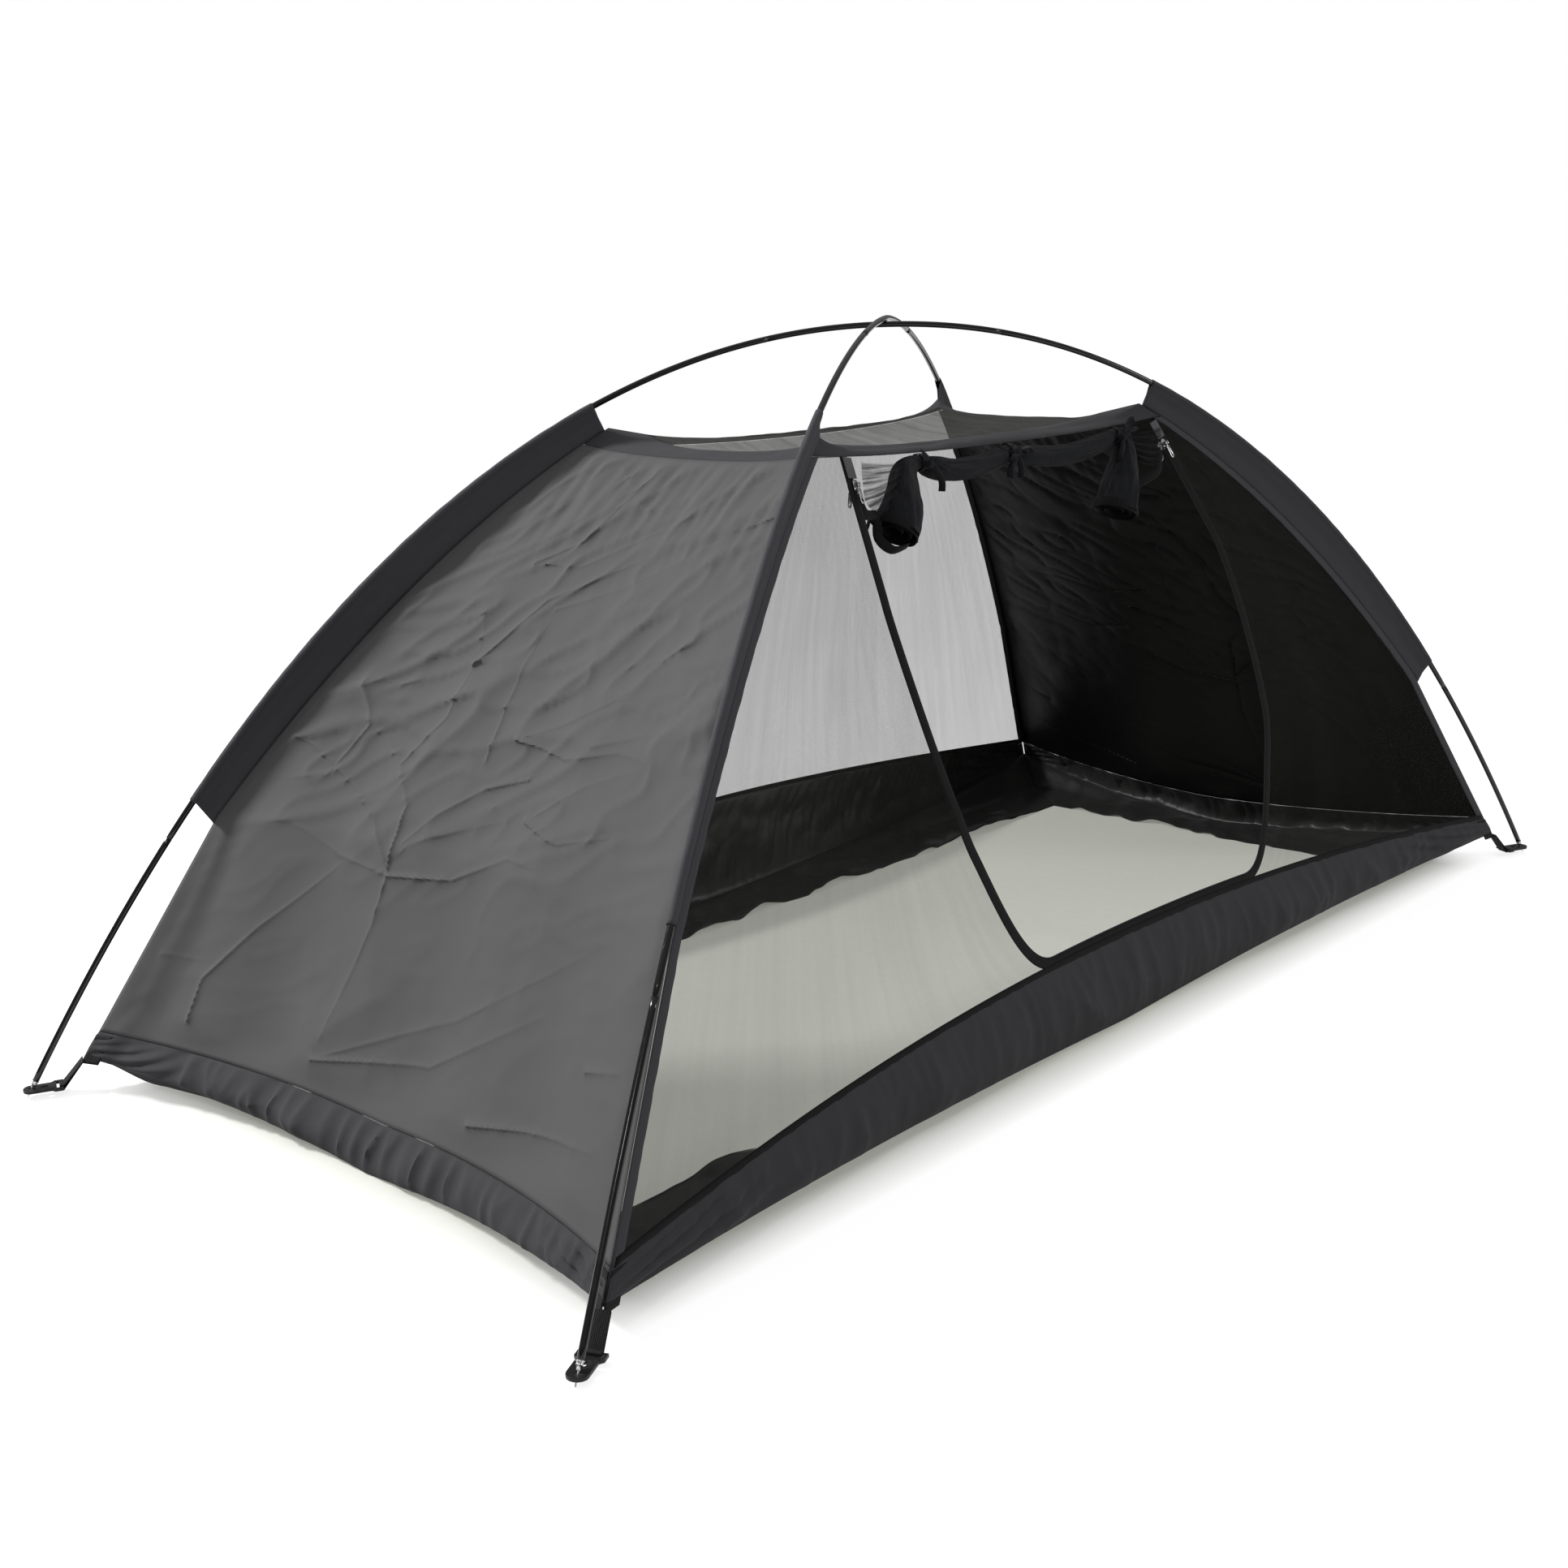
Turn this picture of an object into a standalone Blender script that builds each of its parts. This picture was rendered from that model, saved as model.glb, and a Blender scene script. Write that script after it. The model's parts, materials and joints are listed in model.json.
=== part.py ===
"""Insect net tent for one sleeper.

Two bent tube poles cross over a net tent without a floor. Each pole ends in a pinned tip that stands
in a corner plate, and four cloth sleeves hang the tent body from the poles. The two short ends are
solid cloth, the two long sides and the roof are net, and the front side has a door with a curved zip.

The long side lies along X and the front looks towards -Y. Lengths are in metres.
"""

import math

import bmesh
import bpy
from mathutils import Matrix, Vector

# Plan and height of the poles, measured on their centre lines
foot_half_length = 1.1606
foot_half_width = 0.5456
crown_height = 0.9735
plan_length_power_share = 0.997
plan_width_power_share = 0.9087
lower_pole_fullness_share = 0.130
upper_pole_fullness_share = -0.071

# Pole tube, its spigots and the elastic cord inside
tube_radius = 0.00425
tube_wall = 0.0007
spigot_length = 0.050
spigot_clearance = 0.0003
cord_radius = 0.0012
cord_clearance = 0.0004
cord_end_gap = 0.0006
sections_per_pole = 9
steps_per_section = 4
round_sides = 8

# Metal tip of a pole
pin_radius = 0.00125
tip_taper_length = 0.0080
tip_taper_end_radius = 0.0024
tip_flange_length = 0.0015
tip_flange_radius = 0.0047
tip_spigot_length = 0.030
seat_gap = 0.0003

# Corner plate under each pole tip
plate_underside_height = 0.0090
plate_thickness = 0.0040
plate_width = 0.0240
plate_nose_reach = 0.0105
plate_wing_width = 0.0330
plate_wing_length = 0.0110
plate_bar_reach = 0.0370
plate_bar_width = 0.0040
plate_slot_width = 0.0050
plate_pin_hole_width = 0.0044
plate_spare_hole_radius = 0.0033
plate_edge_round = 0.0006
plate_corner_round = 0.0080

# Webbing strap between a corner plate and the tent body
strap_width = 0.0200
strap_thickness = 0.0013
strap_corner_drop = 0.0010

# Cloth and the seams between its pieces
cloth_thickness = 0.0012
seam_gap = 0.0005
hip_seam_stand = 0.0016

# Hip lines of the tent body, where the sides meet; the knee is a share of the way up to their top
corner_reach = 0.0770
corner_height = 0.0440
hip_top_drop = 0.1305
hip_top_height = crown_height - hip_top_drop
hip_knee_share = 0.4202
hip_knee_height = hip_top_height * hip_knee_share
sleeve_reach_low = 0.0245
sleeve_reach_top = 0.0520

# Pole sleeves
sleeve_low_rise = 0.0240
sleeve_low_height = hip_knee_height + sleeve_low_rise
sleeve_top_drop = 0.1000
sleeve_top_height = crown_height - sleeve_top_drop
sleeve_clearance = 0.0006
sleeve_half_web = 0.0012
sleeve_cut_drop = 0.0090

# How far the sides draw in between the hips, at the ground and at the roof
side_draw_base = 0.087
side_draw_top = 0.036
end_draw_base = 0.106
end_draw_top = 0.030

# Base band round the tent, with a skirt that lies on the ground
band_corner_height = 0.078
front_band_height = 0.118
back_band_height = 0.185
end_band_height = 0.0555
front_band_power = 2.06
back_band_power = 1.6
end_band_power = 1.2
skirt_width_side = 0.211
skirt_width_end = 0.207
band_corner_lift_power = 1.2

# Roof edge band and roof net, with their seams measured down from the top of the hips
roof_corner_drop = 0.021
roof_side_drop = 0.037
roof_end_drop = 0.035
roof_corner_height = hip_top_height - roof_corner_drop
roof_side_height = hip_top_height - roof_side_drop
roof_end_height = hip_top_height - roof_end_drop
roof_band_width = 0.040
roof_crest_rise = 0.0085
roof_inner_rise = 0.0095
roof_crest_share = 0.48
roof_corner_inset = 0.0022
roof_net_sag = 0.012
roof_edge_power = 2.4

# Door opening in the front side, as shares of the wall: half widths of its zip line, and heights
door_centre_share = 0.0631
door_low_centre_share = 0.1060
door_top_share = 0.8506
door_waist_share = 0.6175
door_waist_rise_share = 0.7929
door_knee_share = 0.4038
door_knee_rise_share = 0.3837
door_foot_share = 0.2443
zip_tape_width = 0.0140
zip_tape_thickness = 0.0012
tape_seam_gap = 0.0008
zip_bead_width = 0.0026
zip_bead_height = 0.0026
zip_curve_steps = 7

# Slider, its bails and its two pull tabs
slider_length = 0.0160
slider_width = 0.0100
slider_plate = 0.0016
slider_clearance = 0.0004
slider_travel = 0.0900
slider_top_gap = 0.0020
bail_post = 0.0014
bail_height = 0.0052
bail_length = 0.0060
bail_pin_radius = 0.0008
pull_eye_radius = 0.0022
pull_eye_width = 0.0024
pull_width = 0.0070
pull_length = 0.0260
pull_thickness = 0.0014
pull_hole_radius = 0.0021

# Cloth stop tab at the top of each zip
stop_tab_width = 0.0180
stop_tab_length = 0.0300

# Rolled door under the front roof edge and its ties
roll_neck_radius = 0.0100
roll_body_radius = 0.0165
roll_sag = 0.0100
roll_end_half_width = 0.0370
roll_end_half_depth = 0.0340
roll_left_lean = -0.0733
roll_left_drop = 0.0820
roll_right_lean = -0.0360
roll_right_drop = 0.1090
roll_belly_shares = (0.15, 0.32, 0.5, 0.68, 0.85)
roll_end_out = 0.0250
roll_end_steps = 6
tie_left_share = -0.3800
tie_middle_share = 0.1000
tie_right_share = 0.6820
tie_loop_sides = 10
tie_width = 0.0100
tie_thickness = 0.0016
tie_knot_radius = 0.0085
tie_tail_length = 0.0400
tie_tail_width = 0.0100

# Columns of the cloth pieces, counted along each wall
side_columns = 16
end_columns = 12
net_columns = 8
door_columns = 4
wall_rows = 8

# Main folds of the cloth and the net
end_fold_depth = 0.0040
end_fold_count = 5
net_fold_depth = 0.0030
net_fold_count = 4

colors = {
    "pole": ((0.012, 0.012, 0.013), 0.22, 0.9),
    "tip": ((0.72, 0.72, 0.74), 0.25, 1.0),
    "plate": ((0.015, 0.015, 0.016), 0.45, 0.0),
    "strap": ((0.020, 0.020, 0.022), 0.85, 0.0),
    "cord": ((0.60, 0.60, 0.60), 0.80, 0.0),
    "sleeve": ((0.055, 0.055, 0.062), 0.60, 0.0),
    "end": ((0.090, 0.090, 0.092), 0.65, 0.0),
    "net": ((0.030, 0.030, 0.032), 0.90, 0.0),
    "band": ((0.040, 0.040, 0.044), 0.45, 0.0),
    "zip": ((0.015, 0.015, 0.017), 0.80, 0.0),
    "metal": ((0.55, 0.55, 0.57), 0.28, 1.0),
    "tab": ((0.110, 0.110, 0.125), 0.60, 0.0),
    "roll": ((0.020, 0.022, 0.028), 0.90, 0.0),
}

corner_signs = {
    "front_left": (-1, -1),
    "front_right": (1, -1),
    "back_left": (-1, 1),
    "back_right": (1, 1),
}


def clear_scene():
    for thing in list(bpy.data.objects):
        bpy.data.objects.remove(thing)


def material(name):
    made = bpy.data.materials.get(name)
    if made:
        return made
    color, roughness, metallic = colors[name]
    made = bpy.data.materials.new(name)
    made.use_nodes = True
    shader = made.node_tree.nodes["Principled BSDF"]
    shader.inputs["Base Color"].default_value = (*color, 1.0)
    shader.inputs["Roughness"].default_value = roughness
    shader.inputs["Metallic"].default_value = metallic
    return made


def add_object(name, mesh, finish, place=None):
    """Object with a finish; place is its matrix in the world."""
    thing = bpy.data.objects.new(name, mesh)
    bpy.context.collection.objects.link(thing)
    if not mesh.materials:
        mesh.materials.append(material(finish))
    if place is not None:
        thing.matrix_world = place
    return thing


def mesh_from(bm, name):
    bmesh.ops.recalc_face_normals(bm, faces=bm.faces)
    if bm.calc_volume(signed=True) < 0:
        bmesh.ops.reverse_faces(bm, faces=bm.faces)
    mesh = bpy.data.meshes.new(name)
    bm.to_mesh(mesh)
    bm.free()
    return mesh


def smooth(mesh, angle=40):
    mesh.shade_smooth()
    mesh.set_sharp_from_angle(angle=math.radians(angle))


def blend(start, end, share):
    return start + (end - start) * share


# Poles

def pole_curve(signs, crown, fullness, share):
    """Point of a bent pole; share runs from 1 at its first foot to -1 at its second."""
    size = abs(share)
    side = math.copysign(1, share)
    along = foot_half_length * size ** plan_length_power_share
    across = foot_half_width * size ** plan_width_power_share
    height = crown * (1 - size * size) * (1 + fullness * size * size)
    return Vector((signs[0] * side * along, signs[1] * side * across, height))


class Pole:
    """Centre line of a pole as straight steps between stations, measured along its length."""

    def __init__(self, signs, crown, fullness):
        fine = [pole_curve(signs, crown, fullness, 1 - index / 400) for index in range(801)]
        lengths = [0.0]
        for before, after in zip(fine, fine[1:]):
            lengths.append(lengths[-1] + (after - before).length)
        self.total = lengths[-1]
        foot_run = (fine[4] - fine[0]).normalized()
        lean_side = math.sqrt(1 - foot_run.z ** 2)
        taper_height = plate_underside_height + plate_thickness + seat_gap
        taper_height += tip_taper_end_radius * lean_side
        self.pin_start = pin_radius * lean_side / foot_run.z
        self.taper_start = taper_height / foot_run.z
        self.flange_start = self.taper_start + tip_taper_length
        self.tube_start = self.flange_start + tip_flange_length + seat_gap
        self.section = (self.total - 2 * self.tube_start) / sections_per_pole
        steps = sections_per_pole * steps_per_section
        step = self.section / steps_per_section
        marks = [0.0] + [self.tube_start + index * step for index in range(steps + 1)] + [self.total]
        self.stations = [(mark, self.on_curve(fine, lengths, mark)) for mark in marks]

    @staticmethod
    def on_curve(fine, lengths, mark):
        index = 0
        while index < len(lengths) - 2 and lengths[index + 1] < mark:
            index += 1
        share = (mark - lengths[index]) / (lengths[index + 1] - lengths[index])
        return fine[index].lerp(fine[index + 1], share)

    def span(self, mark):
        for index in range(len(self.stations) - 2):
            if mark < self.stations[index + 1][0] - seat_gap / 10:
                return index
        return len(self.stations) - 2

    def centre(self, mark):
        index = self.span(mark)
        (start, low), (end, high) = self.stations[index], self.stations[index + 1]
        return low.lerp(high, (mark - start) / (end - start))

    def run(self, mark):
        """Direction of the pole, halfway between the two steps at a station."""
        index = self.span(mark)
        way = (self.stations[index + 1][1] - self.stations[index][1]).normalized()
        if index and abs(mark - self.stations[index][0]) < seat_gap / 10:
            before = (self.stations[index][1] - self.stations[index - 1][1]).normalized()
            way = (way + before).normalized()
        return way

    def frame(self, mark, flip=False):
        """Matrix with Z along the pole and X up and away from the tent."""
        way = self.run(mark)
        side = way.cross(Vector((0, 0, 1))).normalized()
        out = side.cross(way)
        if flip:
            way, side = -way, -side
        matrix = Matrix((out, side, way)).transposed().to_4x4()
        matrix.translation = self.centre(mark)
        return matrix

    def marks_between(self, low, high):
        margin = spigot_clearance
        inner = [mark for mark, _ in self.stations if low + margin < mark < high - margin]
        return [low] + inner + [high]

    def mark_at_height(self, height, first_half=True):
        """Length along the pole at which its centre reaches a height."""
        low, high = (0.0, self.total / 2) if first_half else (self.total, self.total / 2)
        for _ in range(40):
            middle = (low + high) / 2
            if self.centre(middle).z < height:
                low = middle
            else:
                high = middle
        return (low + high) / 2


def ring_edges(verts):
    inside = set(verts)
    return list({edge for vert in verts for edge in vert.link_edges if edge.other_vert(vert) in inside})


def grow_ring(bm, ring, move):
    """Extrude a ring of edges and move the new ring by a matrix."""
    grown = bmesh.ops.extrude_edge_only(bm, edges=ring_edges(ring))
    verts = [item for item in grown["geom"] if isinstance(item, bmesh.types.BMVert)]
    bmesh.ops.transform(bm, matrix=move, verts=verts)
    return verts


def turned_along(name, pole, profile, finish, closed):
    """Round piece on a pole's line; profile lists (length along the pole, radius)."""
    bm = bmesh.new()
    mark, radius = profile[0]
    place = pole.frame(mark)
    first = bmesh.ops.create_circle(bm, segments=round_sides, radius=radius, matrix=place)["verts"]
    ring = first
    for mark, following in profile[1:]:
        growth = following / radius
        after = pole.frame(mark)
        ring = grow_ring(bm, ring, after @ Matrix.Diagonal((growth, growth, 1, 1)) @ place.inverted())
        place, radius = after, following
    if closed:
        bmesh.ops.bridge_loops(bm, edges=ring_edges(ring) + ring_edges(first))
    else:
        bmesh.ops.contextual_create(bm, geom=ring_edges(first))
        bmesh.ops.contextual_create(bm, geom=ring_edges(ring))
    mesh = mesh_from(bm, name)
    smooth(mesh)
    return add_object(name, mesh, finish)


def pole_section(name, pole, index):
    """Tube with the next section's spigot fixed in its upper end, bored through for the cord."""
    start = pole.tube_start + index * pole.section
    end = start + pole.section
    last = index == sections_per_pole - 1
    top = end - seat_gap if not last else end
    bore = tube_radius - tube_wall
    cord_bore = cord_radius + cord_clearance
    marks = pole.marks_between(start, top)
    profile = [(mark, tube_radius) for mark in marks]
    if not last:
        spigot = bore - spigot_clearance
        profile += [(top, spigot), (end, spigot), (end + spigot_length, spigot)]
        profile += [(end + spigot_length, cord_bore), (end, cord_bore)]
        plug = end - spigot_length
        profile += [(plug, cord_bore), (plug, bore)]
        profile += [(mark, bore) for mark in reversed(pole.marks_between(start, plug)[:-1])]
    else:
        profile += [(mark, bore) for mark in reversed(marks)]
    return turned_along(name, pole, profile, "pole", closed=True)


def tip_profile(pole, low_end):
    """Pin, taper, flange and spigot of a tip, from the ground up."""
    spigot = tube_radius - tube_wall - spigot_clearance
    flange_end = pole.flange_start + tip_flange_length
    places = [
        (pole.pin_start, pin_radius),
        (pole.taper_start, pin_radius),
        (pole.taper_start, tip_taper_end_radius),
        (pole.flange_start, tube_radius - spigot_clearance),
        (pole.flange_start, tip_flange_radius),
        (flange_end, tip_flange_radius),
        (flange_end, spigot),
        (pole.tube_start, spigot),
        (pole.tube_start + tip_spigot_length, spigot),
    ]
    if low_end:
        return places
    return [(pole.total - mark, radius) for mark, radius in places]


def shock_cord(name, pole):
    inset = pole.tube_start + tip_spigot_length + cord_end_gap
    marks = pole.marks_between(inset, pole.total - inset)
    profile = [(mark, cord_radius) for mark in marks]
    return turned_along(name, pole, profile, "cord", closed=False)


def build_poles():
    lift = 2 * tube_radius + seat_gap
    lower = Pole((-1, 1), crown_height, lower_pole_fullness_share)
    upper = Pole((-1, -1), crown_height + lift, upper_pole_fullness_share)
    poles = {
        "lower": (lower, ("back_left", "front_right")),
        "upper": (upper, ("front_left", "back_right")),
    }
    for label, (pole, ends) in poles.items():
        for index in range(sections_per_pole):
            pole_section(f"{label}_pole_section_{index + 1}", pole, index)
        for end, low_end in zip(ends, (True, False)):
            turned_along(f"pole_tip_{end}", pole, tip_profile(pole, low_end), "tip", closed=False)
        shock_cord(f"{label}_pole_shock_cord", pole)
    return poles


# Outline of the tent body

def plan_way():
    """Unit step from a pole foot's corner towards the centre line of the tent, both parts positive."""
    return Vector((foot_half_length, foot_half_width)).normalized()


def hip(height):
    """Corner of the tent body at a height, in the quarter where X and Y are positive."""
    way = plan_way()
    if height >= hip_knee_height:
        share = math.sqrt(max(0.0, 1 - height / crown_height))
        rise = (height - hip_knee_height) / (hip_top_height - hip_knee_height)
        reach = blend(sleeve_reach_low, sleeve_reach_top, rise)
        along = foot_half_length * share ** plan_length_power_share
        across = foot_half_width * share ** plan_width_power_share
        return Vector((along, across)) - way * reach
    knee = hip(hip_knee_height)
    foot = Vector((foot_half_length, foot_half_width)) - way * corner_reach
    return blend(foot, knee, (height - corner_height) / (hip_knee_height - corner_height))


def rise_share(height):
    return (height - corner_height) / (hip_top_height - corner_height)


def side_depth(along, height):
    """Distance of a long side from the centre line, at a place along X."""
    corner = hip(height)
    draw = blend(side_draw_base, side_draw_top, rise_share(height))
    return corner.y - draw * (1 - (along / corner.x) ** 2)


def end_depth(along, height):
    """Distance of a short end from the centre line, at a place along Y."""
    corner = hip(height)
    draw = blend(end_draw_base, end_draw_top, rise_share(height))
    return corner.x - draw * (1 - (along / corner.y) ** 2)


def wall_point(wall, along, height, out=0.0):
    if wall == "front":
        return Vector((along, -side_depth(along, height) - out, height))
    if wall == "back":
        return Vector((along, side_depth(along, height) + out, height))
    if wall == "left":
        return Vector((-end_depth(along, height) - out, along, height))
    return Vector((end_depth(along, height) + out, along, height))


def is_side(wall):
    return wall in ("front", "back")


def half_span(wall, height):
    """Half length of a wall at a height, less what its hip seams take."""
    corner = hip(height)
    way = plan_way()
    inset = seam_gap / 2 + cloth_thickness / 2
    if is_side(wall):
        return corner.x - inset / way.y
    return corner.y - inset / way.x


def band_top(wall, share):
    """Height of the seam between a wall and its base band."""
    sizes = {"front": (front_band_height, front_band_power), "back": (back_band_height, back_band_power)}
    high, power = sizes.get(wall, (end_band_height, end_band_power))
    return blend(high, band_corner_height, abs(share) ** power)


def roof_seam(wall, share):
    """Height of the seam between a wall and the roof edge band."""
    high = roof_side_height if is_side(wall) else roof_end_height
    return blend(high, roof_corner_height, abs(share) ** roof_edge_power)


def share_at(wall, along, seam):
    """Share of a wall's half length at which its seam passes a place along the wall."""
    share = 0.0
    for _ in range(12):
        share = along / half_span(wall, seam(wall, share))
    return share


def seam_point(wall, share, seam, rise):
    """Place along the wall and height of a point a little over or under a seam."""
    height = seam(wall, share) + rise
    return Vector((share * half_span(wall, height), height))


# Cloth pieces

def cloth(name, place, across, up, finish, smooth_shape=True):
    """Thin closed sheet; place gives its middle surface for shares from 0 to 1."""
    bm = bmesh.new()
    bmesh.ops.create_grid(bm, x_segments=across, y_segments=up, size=1)
    for vert in bm.verts:
        vert.co = place((vert.co.x + 1) / 2, (vert.co.y + 1) / 2)
    mesh = mesh_from(bm, name)
    if smooth_shape:
        smooth(mesh)
    thing = add_object(name, mesh, finish)
    wall = thing.modifiers.new("cloth", "SOLIDIFY")
    wall.thickness = cloth_thickness
    wall.offset = 0
    return thing


def fold(depth, count, across, up):
    """Main folds that hang from the roof seam and fade out towards the ground and the hips."""
    fade = math.sin(math.pi * across) ** 2 * math.sin(math.pi * min(1.0, up)) ** 0.5
    fan = across + (0.5 - across) * 0.35 * (1 - up)
    return depth * fade * math.sin(2 * math.pi * count * fan)


def wall_columns(wall):
    """Shares of a wall's half length at which its cloth pieces bend, from one hip to the other."""
    count = side_columns if is_side(wall) else end_columns
    return [2 * index / count - 1 for index in range(count + 1)]


def column(columns, share):
    return columns[round(share * (len(columns) - 1))]


def wall_panel(name, wall, depth, count, finish):
    columns = wall_columns(wall)

    def place(share, rise):
        side = column(columns, share)
        low = band_top(wall, side) + seam_gap / 2
        high = roof_seam(wall, side) - seam_gap / 2 - cloth_thickness / 2
        height = blend(low, high, rise)
        out = fold(depth, count, share, rise)
        return wall_point(wall, side * half_span(wall, height), height, out)
    return cloth(name, place, len(columns) - 1, wall_rows, finish)


def base_band(name, wall, columns):
    """Wall of the band and the skirt that turns in along the ground."""
    skirt_rows, rise_rows = 2, 2
    rows = skirt_rows + rise_rows
    fold_share = skirt_rows / rows
    floor = cloth_thickness / 2

    def place(share, rise):
        side = column(columns, share)
        lift = corner_height * abs(side) ** band_corner_lift_power
        if rise >= fold_share - seam_gap:
            climb = (rise - fold_share) / (1 - fold_share)
            height = blend(floor + lift, band_top(wall, side) - seam_gap / 2, climb)
            return wall_point(wall, side * half_span(wall, height), height)
        inward = 1 - rise / fold_share
        edge = wall_point(wall, side * half_span(wall, floor + lift), floor + lift)
        inner_x = half_span("front", floor) - skirt_width_end
        inner_y = half_span("left", floor) - skirt_width_side
        if is_side(wall):
            inner = Vector((side * (inner_x - seam_gap), math.copysign(inner_y, edge.y), floor))
        else:
            inner = Vector((math.copysign(inner_x, edge.x), side * (inner_y - seam_gap), floor))
        point = edge.lerp(inner, inward)
        point.z = blend(floor + lift, floor, min(1, inward * skirt_rows))
        return point
    return cloth(name, place, len(columns) - 1, rows, "band", smooth_shape=False)


def roof_loop(wall, share, kind):
    """Edge lines of the roof band: outer at the walls, crest on top, inner at the net."""
    way = plan_way()
    outer_height = roof_seam(wall, share)
    outer = wall_point(wall, share * half_span(wall, outer_height), outer_height + cloth_thickness / 2)
    corner = hip(roof_corner_height) - way * roof_corner_inset
    corner_end = Vector((corner.x, corner.y, roof_corner_height + cloth_thickness / 2))
    peak_plan = hip(hip_top_height) - way * roof_corner_inset
    peak = Vector((peak_plan.x, peak_plan.y, hip_top_height))
    long_side = is_side(wall)
    middle = wall_point(wall, 0.0, roof_side_height if long_side else roof_end_height)
    depth = abs(middle.y) if long_side else abs(middle.x)
    size = abs(share)
    if kind == "outer":
        blendable = size ** 12
        flat = Vector((abs(outer.x), abs(outer.y), outer.z)).lerp(corner_end, blendable)
        return signed(flat, wall, share)
    if kind == "crest":
        level = depth - roof_band_width * roof_crest_share
        height = middle.z + roof_crest_rise
        edge = peak
        plan_power, height_power = 3, 6
    else:
        extra = seam_gap + cloth_thickness if kind == "net" else 0.0
        level = depth - roof_band_width - extra
        height = middle.z + roof_inner_rise
        inner_corner = Vector((peak.x, peak.y)) - Vector((roof_band_width * 1.2, roof_band_width))
        inner_corner -= way * extra * 1.5
        edge = Vector((inner_corner.x, inner_corner.y, roof_corner_height + roof_crest_rise))
        plan_power, height_power = 2, 3
    reach = edge.x if long_side else edge.y
    across = edge.y if long_side else edge.x
    level = blend(level, across, size ** plan_power)
    height = blend(height, edge.z, size ** height_power)
    point = Vector((size * reach, level, height)) if long_side else Vector((level, size * reach, height))
    return signed(point, wall, share)


def signed(point, wall, share):
    """Put a point of the positive quarter on its wall, on the side that share says."""
    turn = math.copysign(1, share)
    x, y = (turn, 1 if wall == "back" else -1) if is_side(wall) else (1 if wall == "right" else -1, turn)
    return Vector((x * point.x, y * point.y, point.z))


def roof_band():
    """Cloth band round the roof net; it climbs to a peak at each sleeve."""
    walls = (("front", 1), ("right", 1), ("back", -1), ("left", -1))
    rings = []
    bm = bmesh.new()
    for kind in ("outer", "crest", "inner"):
        verts = []
        for wall, turn in walls:
            for share in wall_columns(wall)[:-1]:
                verts.append(bm.verts.new(roof_loop(wall, turn * share, kind)))
        for before, after in zip(verts, verts[1:] + verts[:1]):
            bm.edges.new((before, after))
        rings.append(verts)
    for below, above in zip(rings, rings[1:]):
        bmesh.ops.bridge_loops(bm, edges=ring_edges(below) + ring_edges(above))
    mesh = mesh_from(bm, "roof_edge_band")
    thing = add_object("roof_edge_band", mesh, "band")
    wall = thing.modifiers.new("cloth", "SOLIDIFY")
    wall.thickness = cloth_thickness
    wall.offset = 0
    return thing


def roof_net():
    def place(share, rise):
        x_side, y_side = 2 * share - 1, 2 * rise - 1
        front = roof_loop("front", x_side, "net")
        back = roof_loop("back", x_side, "net")
        left = roof_loop("left", y_side, "net")
        right = roof_loop("right", y_side, "net")
        corners = [roof_loop(wall, turn, "net") for wall in ("front", "back") for turn in (-1, 1)]
        low = corners[0].lerp(corners[1], share)
        high = corners[2].lerp(corners[3], share)
        point = front.lerp(back, rise) + left.lerp(right, share) - low.lerp(high, rise)
        sag = roof_net_sag * (1 - x_side ** 2) * (1 - y_side ** 2)
        return point - Vector((0, 0, sag))
    return cloth("roof_net", place, 10, 6, "net")


def sleeve(name, pole, first_half, corner):
    """Cloth tube round a pole with a flat web back to the hip seam."""
    low = pole.mark_at_height(sleeve_low_height, first_half)
    high = pole.mark_at_height(sleeve_top_height, first_half)
    marks = pole.marks_between(min(low, high), max(low, high))
    signs = corner_signs[corner]
    bore = tube_radius + sleeve_clearance
    outer = bore + cloth_thickness
    tilt = math.asin(sleeve_half_web / outer)
    bm = bmesh.new()
    outer_rings, bore_rings = [], []
    angles = [index * math.pi / 4 for index in range(-3, 4)]
    for mark in marks:
        frame = pole.frame(mark)
        centre, way = pole.centre(mark), pole.run(mark)
        seam = hip_on_plane(centre, way, signs)
        if abs(mark - low) < seam_gap:
            seam = slide_down_hip(seam, signs, sleeve_cut_drop)
        local = frame.inverted() @ seam
        local.y = 0
        inward = local.normalized()
        local -= inward * hip_seam_stand
        turn = Vector((-inward.x, -inward.y, 0)).normalized()
        ring = [Vector((outer * math.cos(angle), outer * math.sin(angle), 0)) for angle in angles]
        ring.append(Vector((-outer * math.cos(tilt), outer * math.sin(tilt), 0)))
        ring.append(local + Vector((0, sleeve_half_web, 0)))
        ring.append(local - Vector((0, sleeve_half_web, 0)))
        ring.append(Vector((-outer * math.cos(tilt), -outer * math.sin(tilt), 0)))
        hole = [Vector((bore * math.cos(angle), bore * math.sin(angle), 0)) for angle in angles]
        for angle in (math.pi - tilt, math.pi - tilt / 2, math.pi + tilt / 2, math.pi + tilt):
            hole.append(Vector((bore * math.cos(angle), bore * math.sin(angle), 0)))
        outer_rings.append(closed_loop(bm, [frame @ point for point in ring]))
        bore_rings.append(closed_loop(bm, [frame @ point for point in hole]))
    rings = outer_rings + bore_rings[::-1]
    skin(bm, rings + rings[:1])
    mesh = mesh_from(bm, name)
    smooth(mesh)
    return add_object(name, mesh, "sleeve")


def closed_loop(bm, points):
    verts = [bm.verts.new(point) for point in points]
    return verts


def skin(bm, rings):
    """Quads between rings that have the same count and start at the same place."""
    for below, above in zip(rings, rings[1:]):
        count = len(below)
        for index in range(count):
            after = (index + 1) % count
            bm.faces.new((below[index], below[after], above[after], above[index]))


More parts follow.
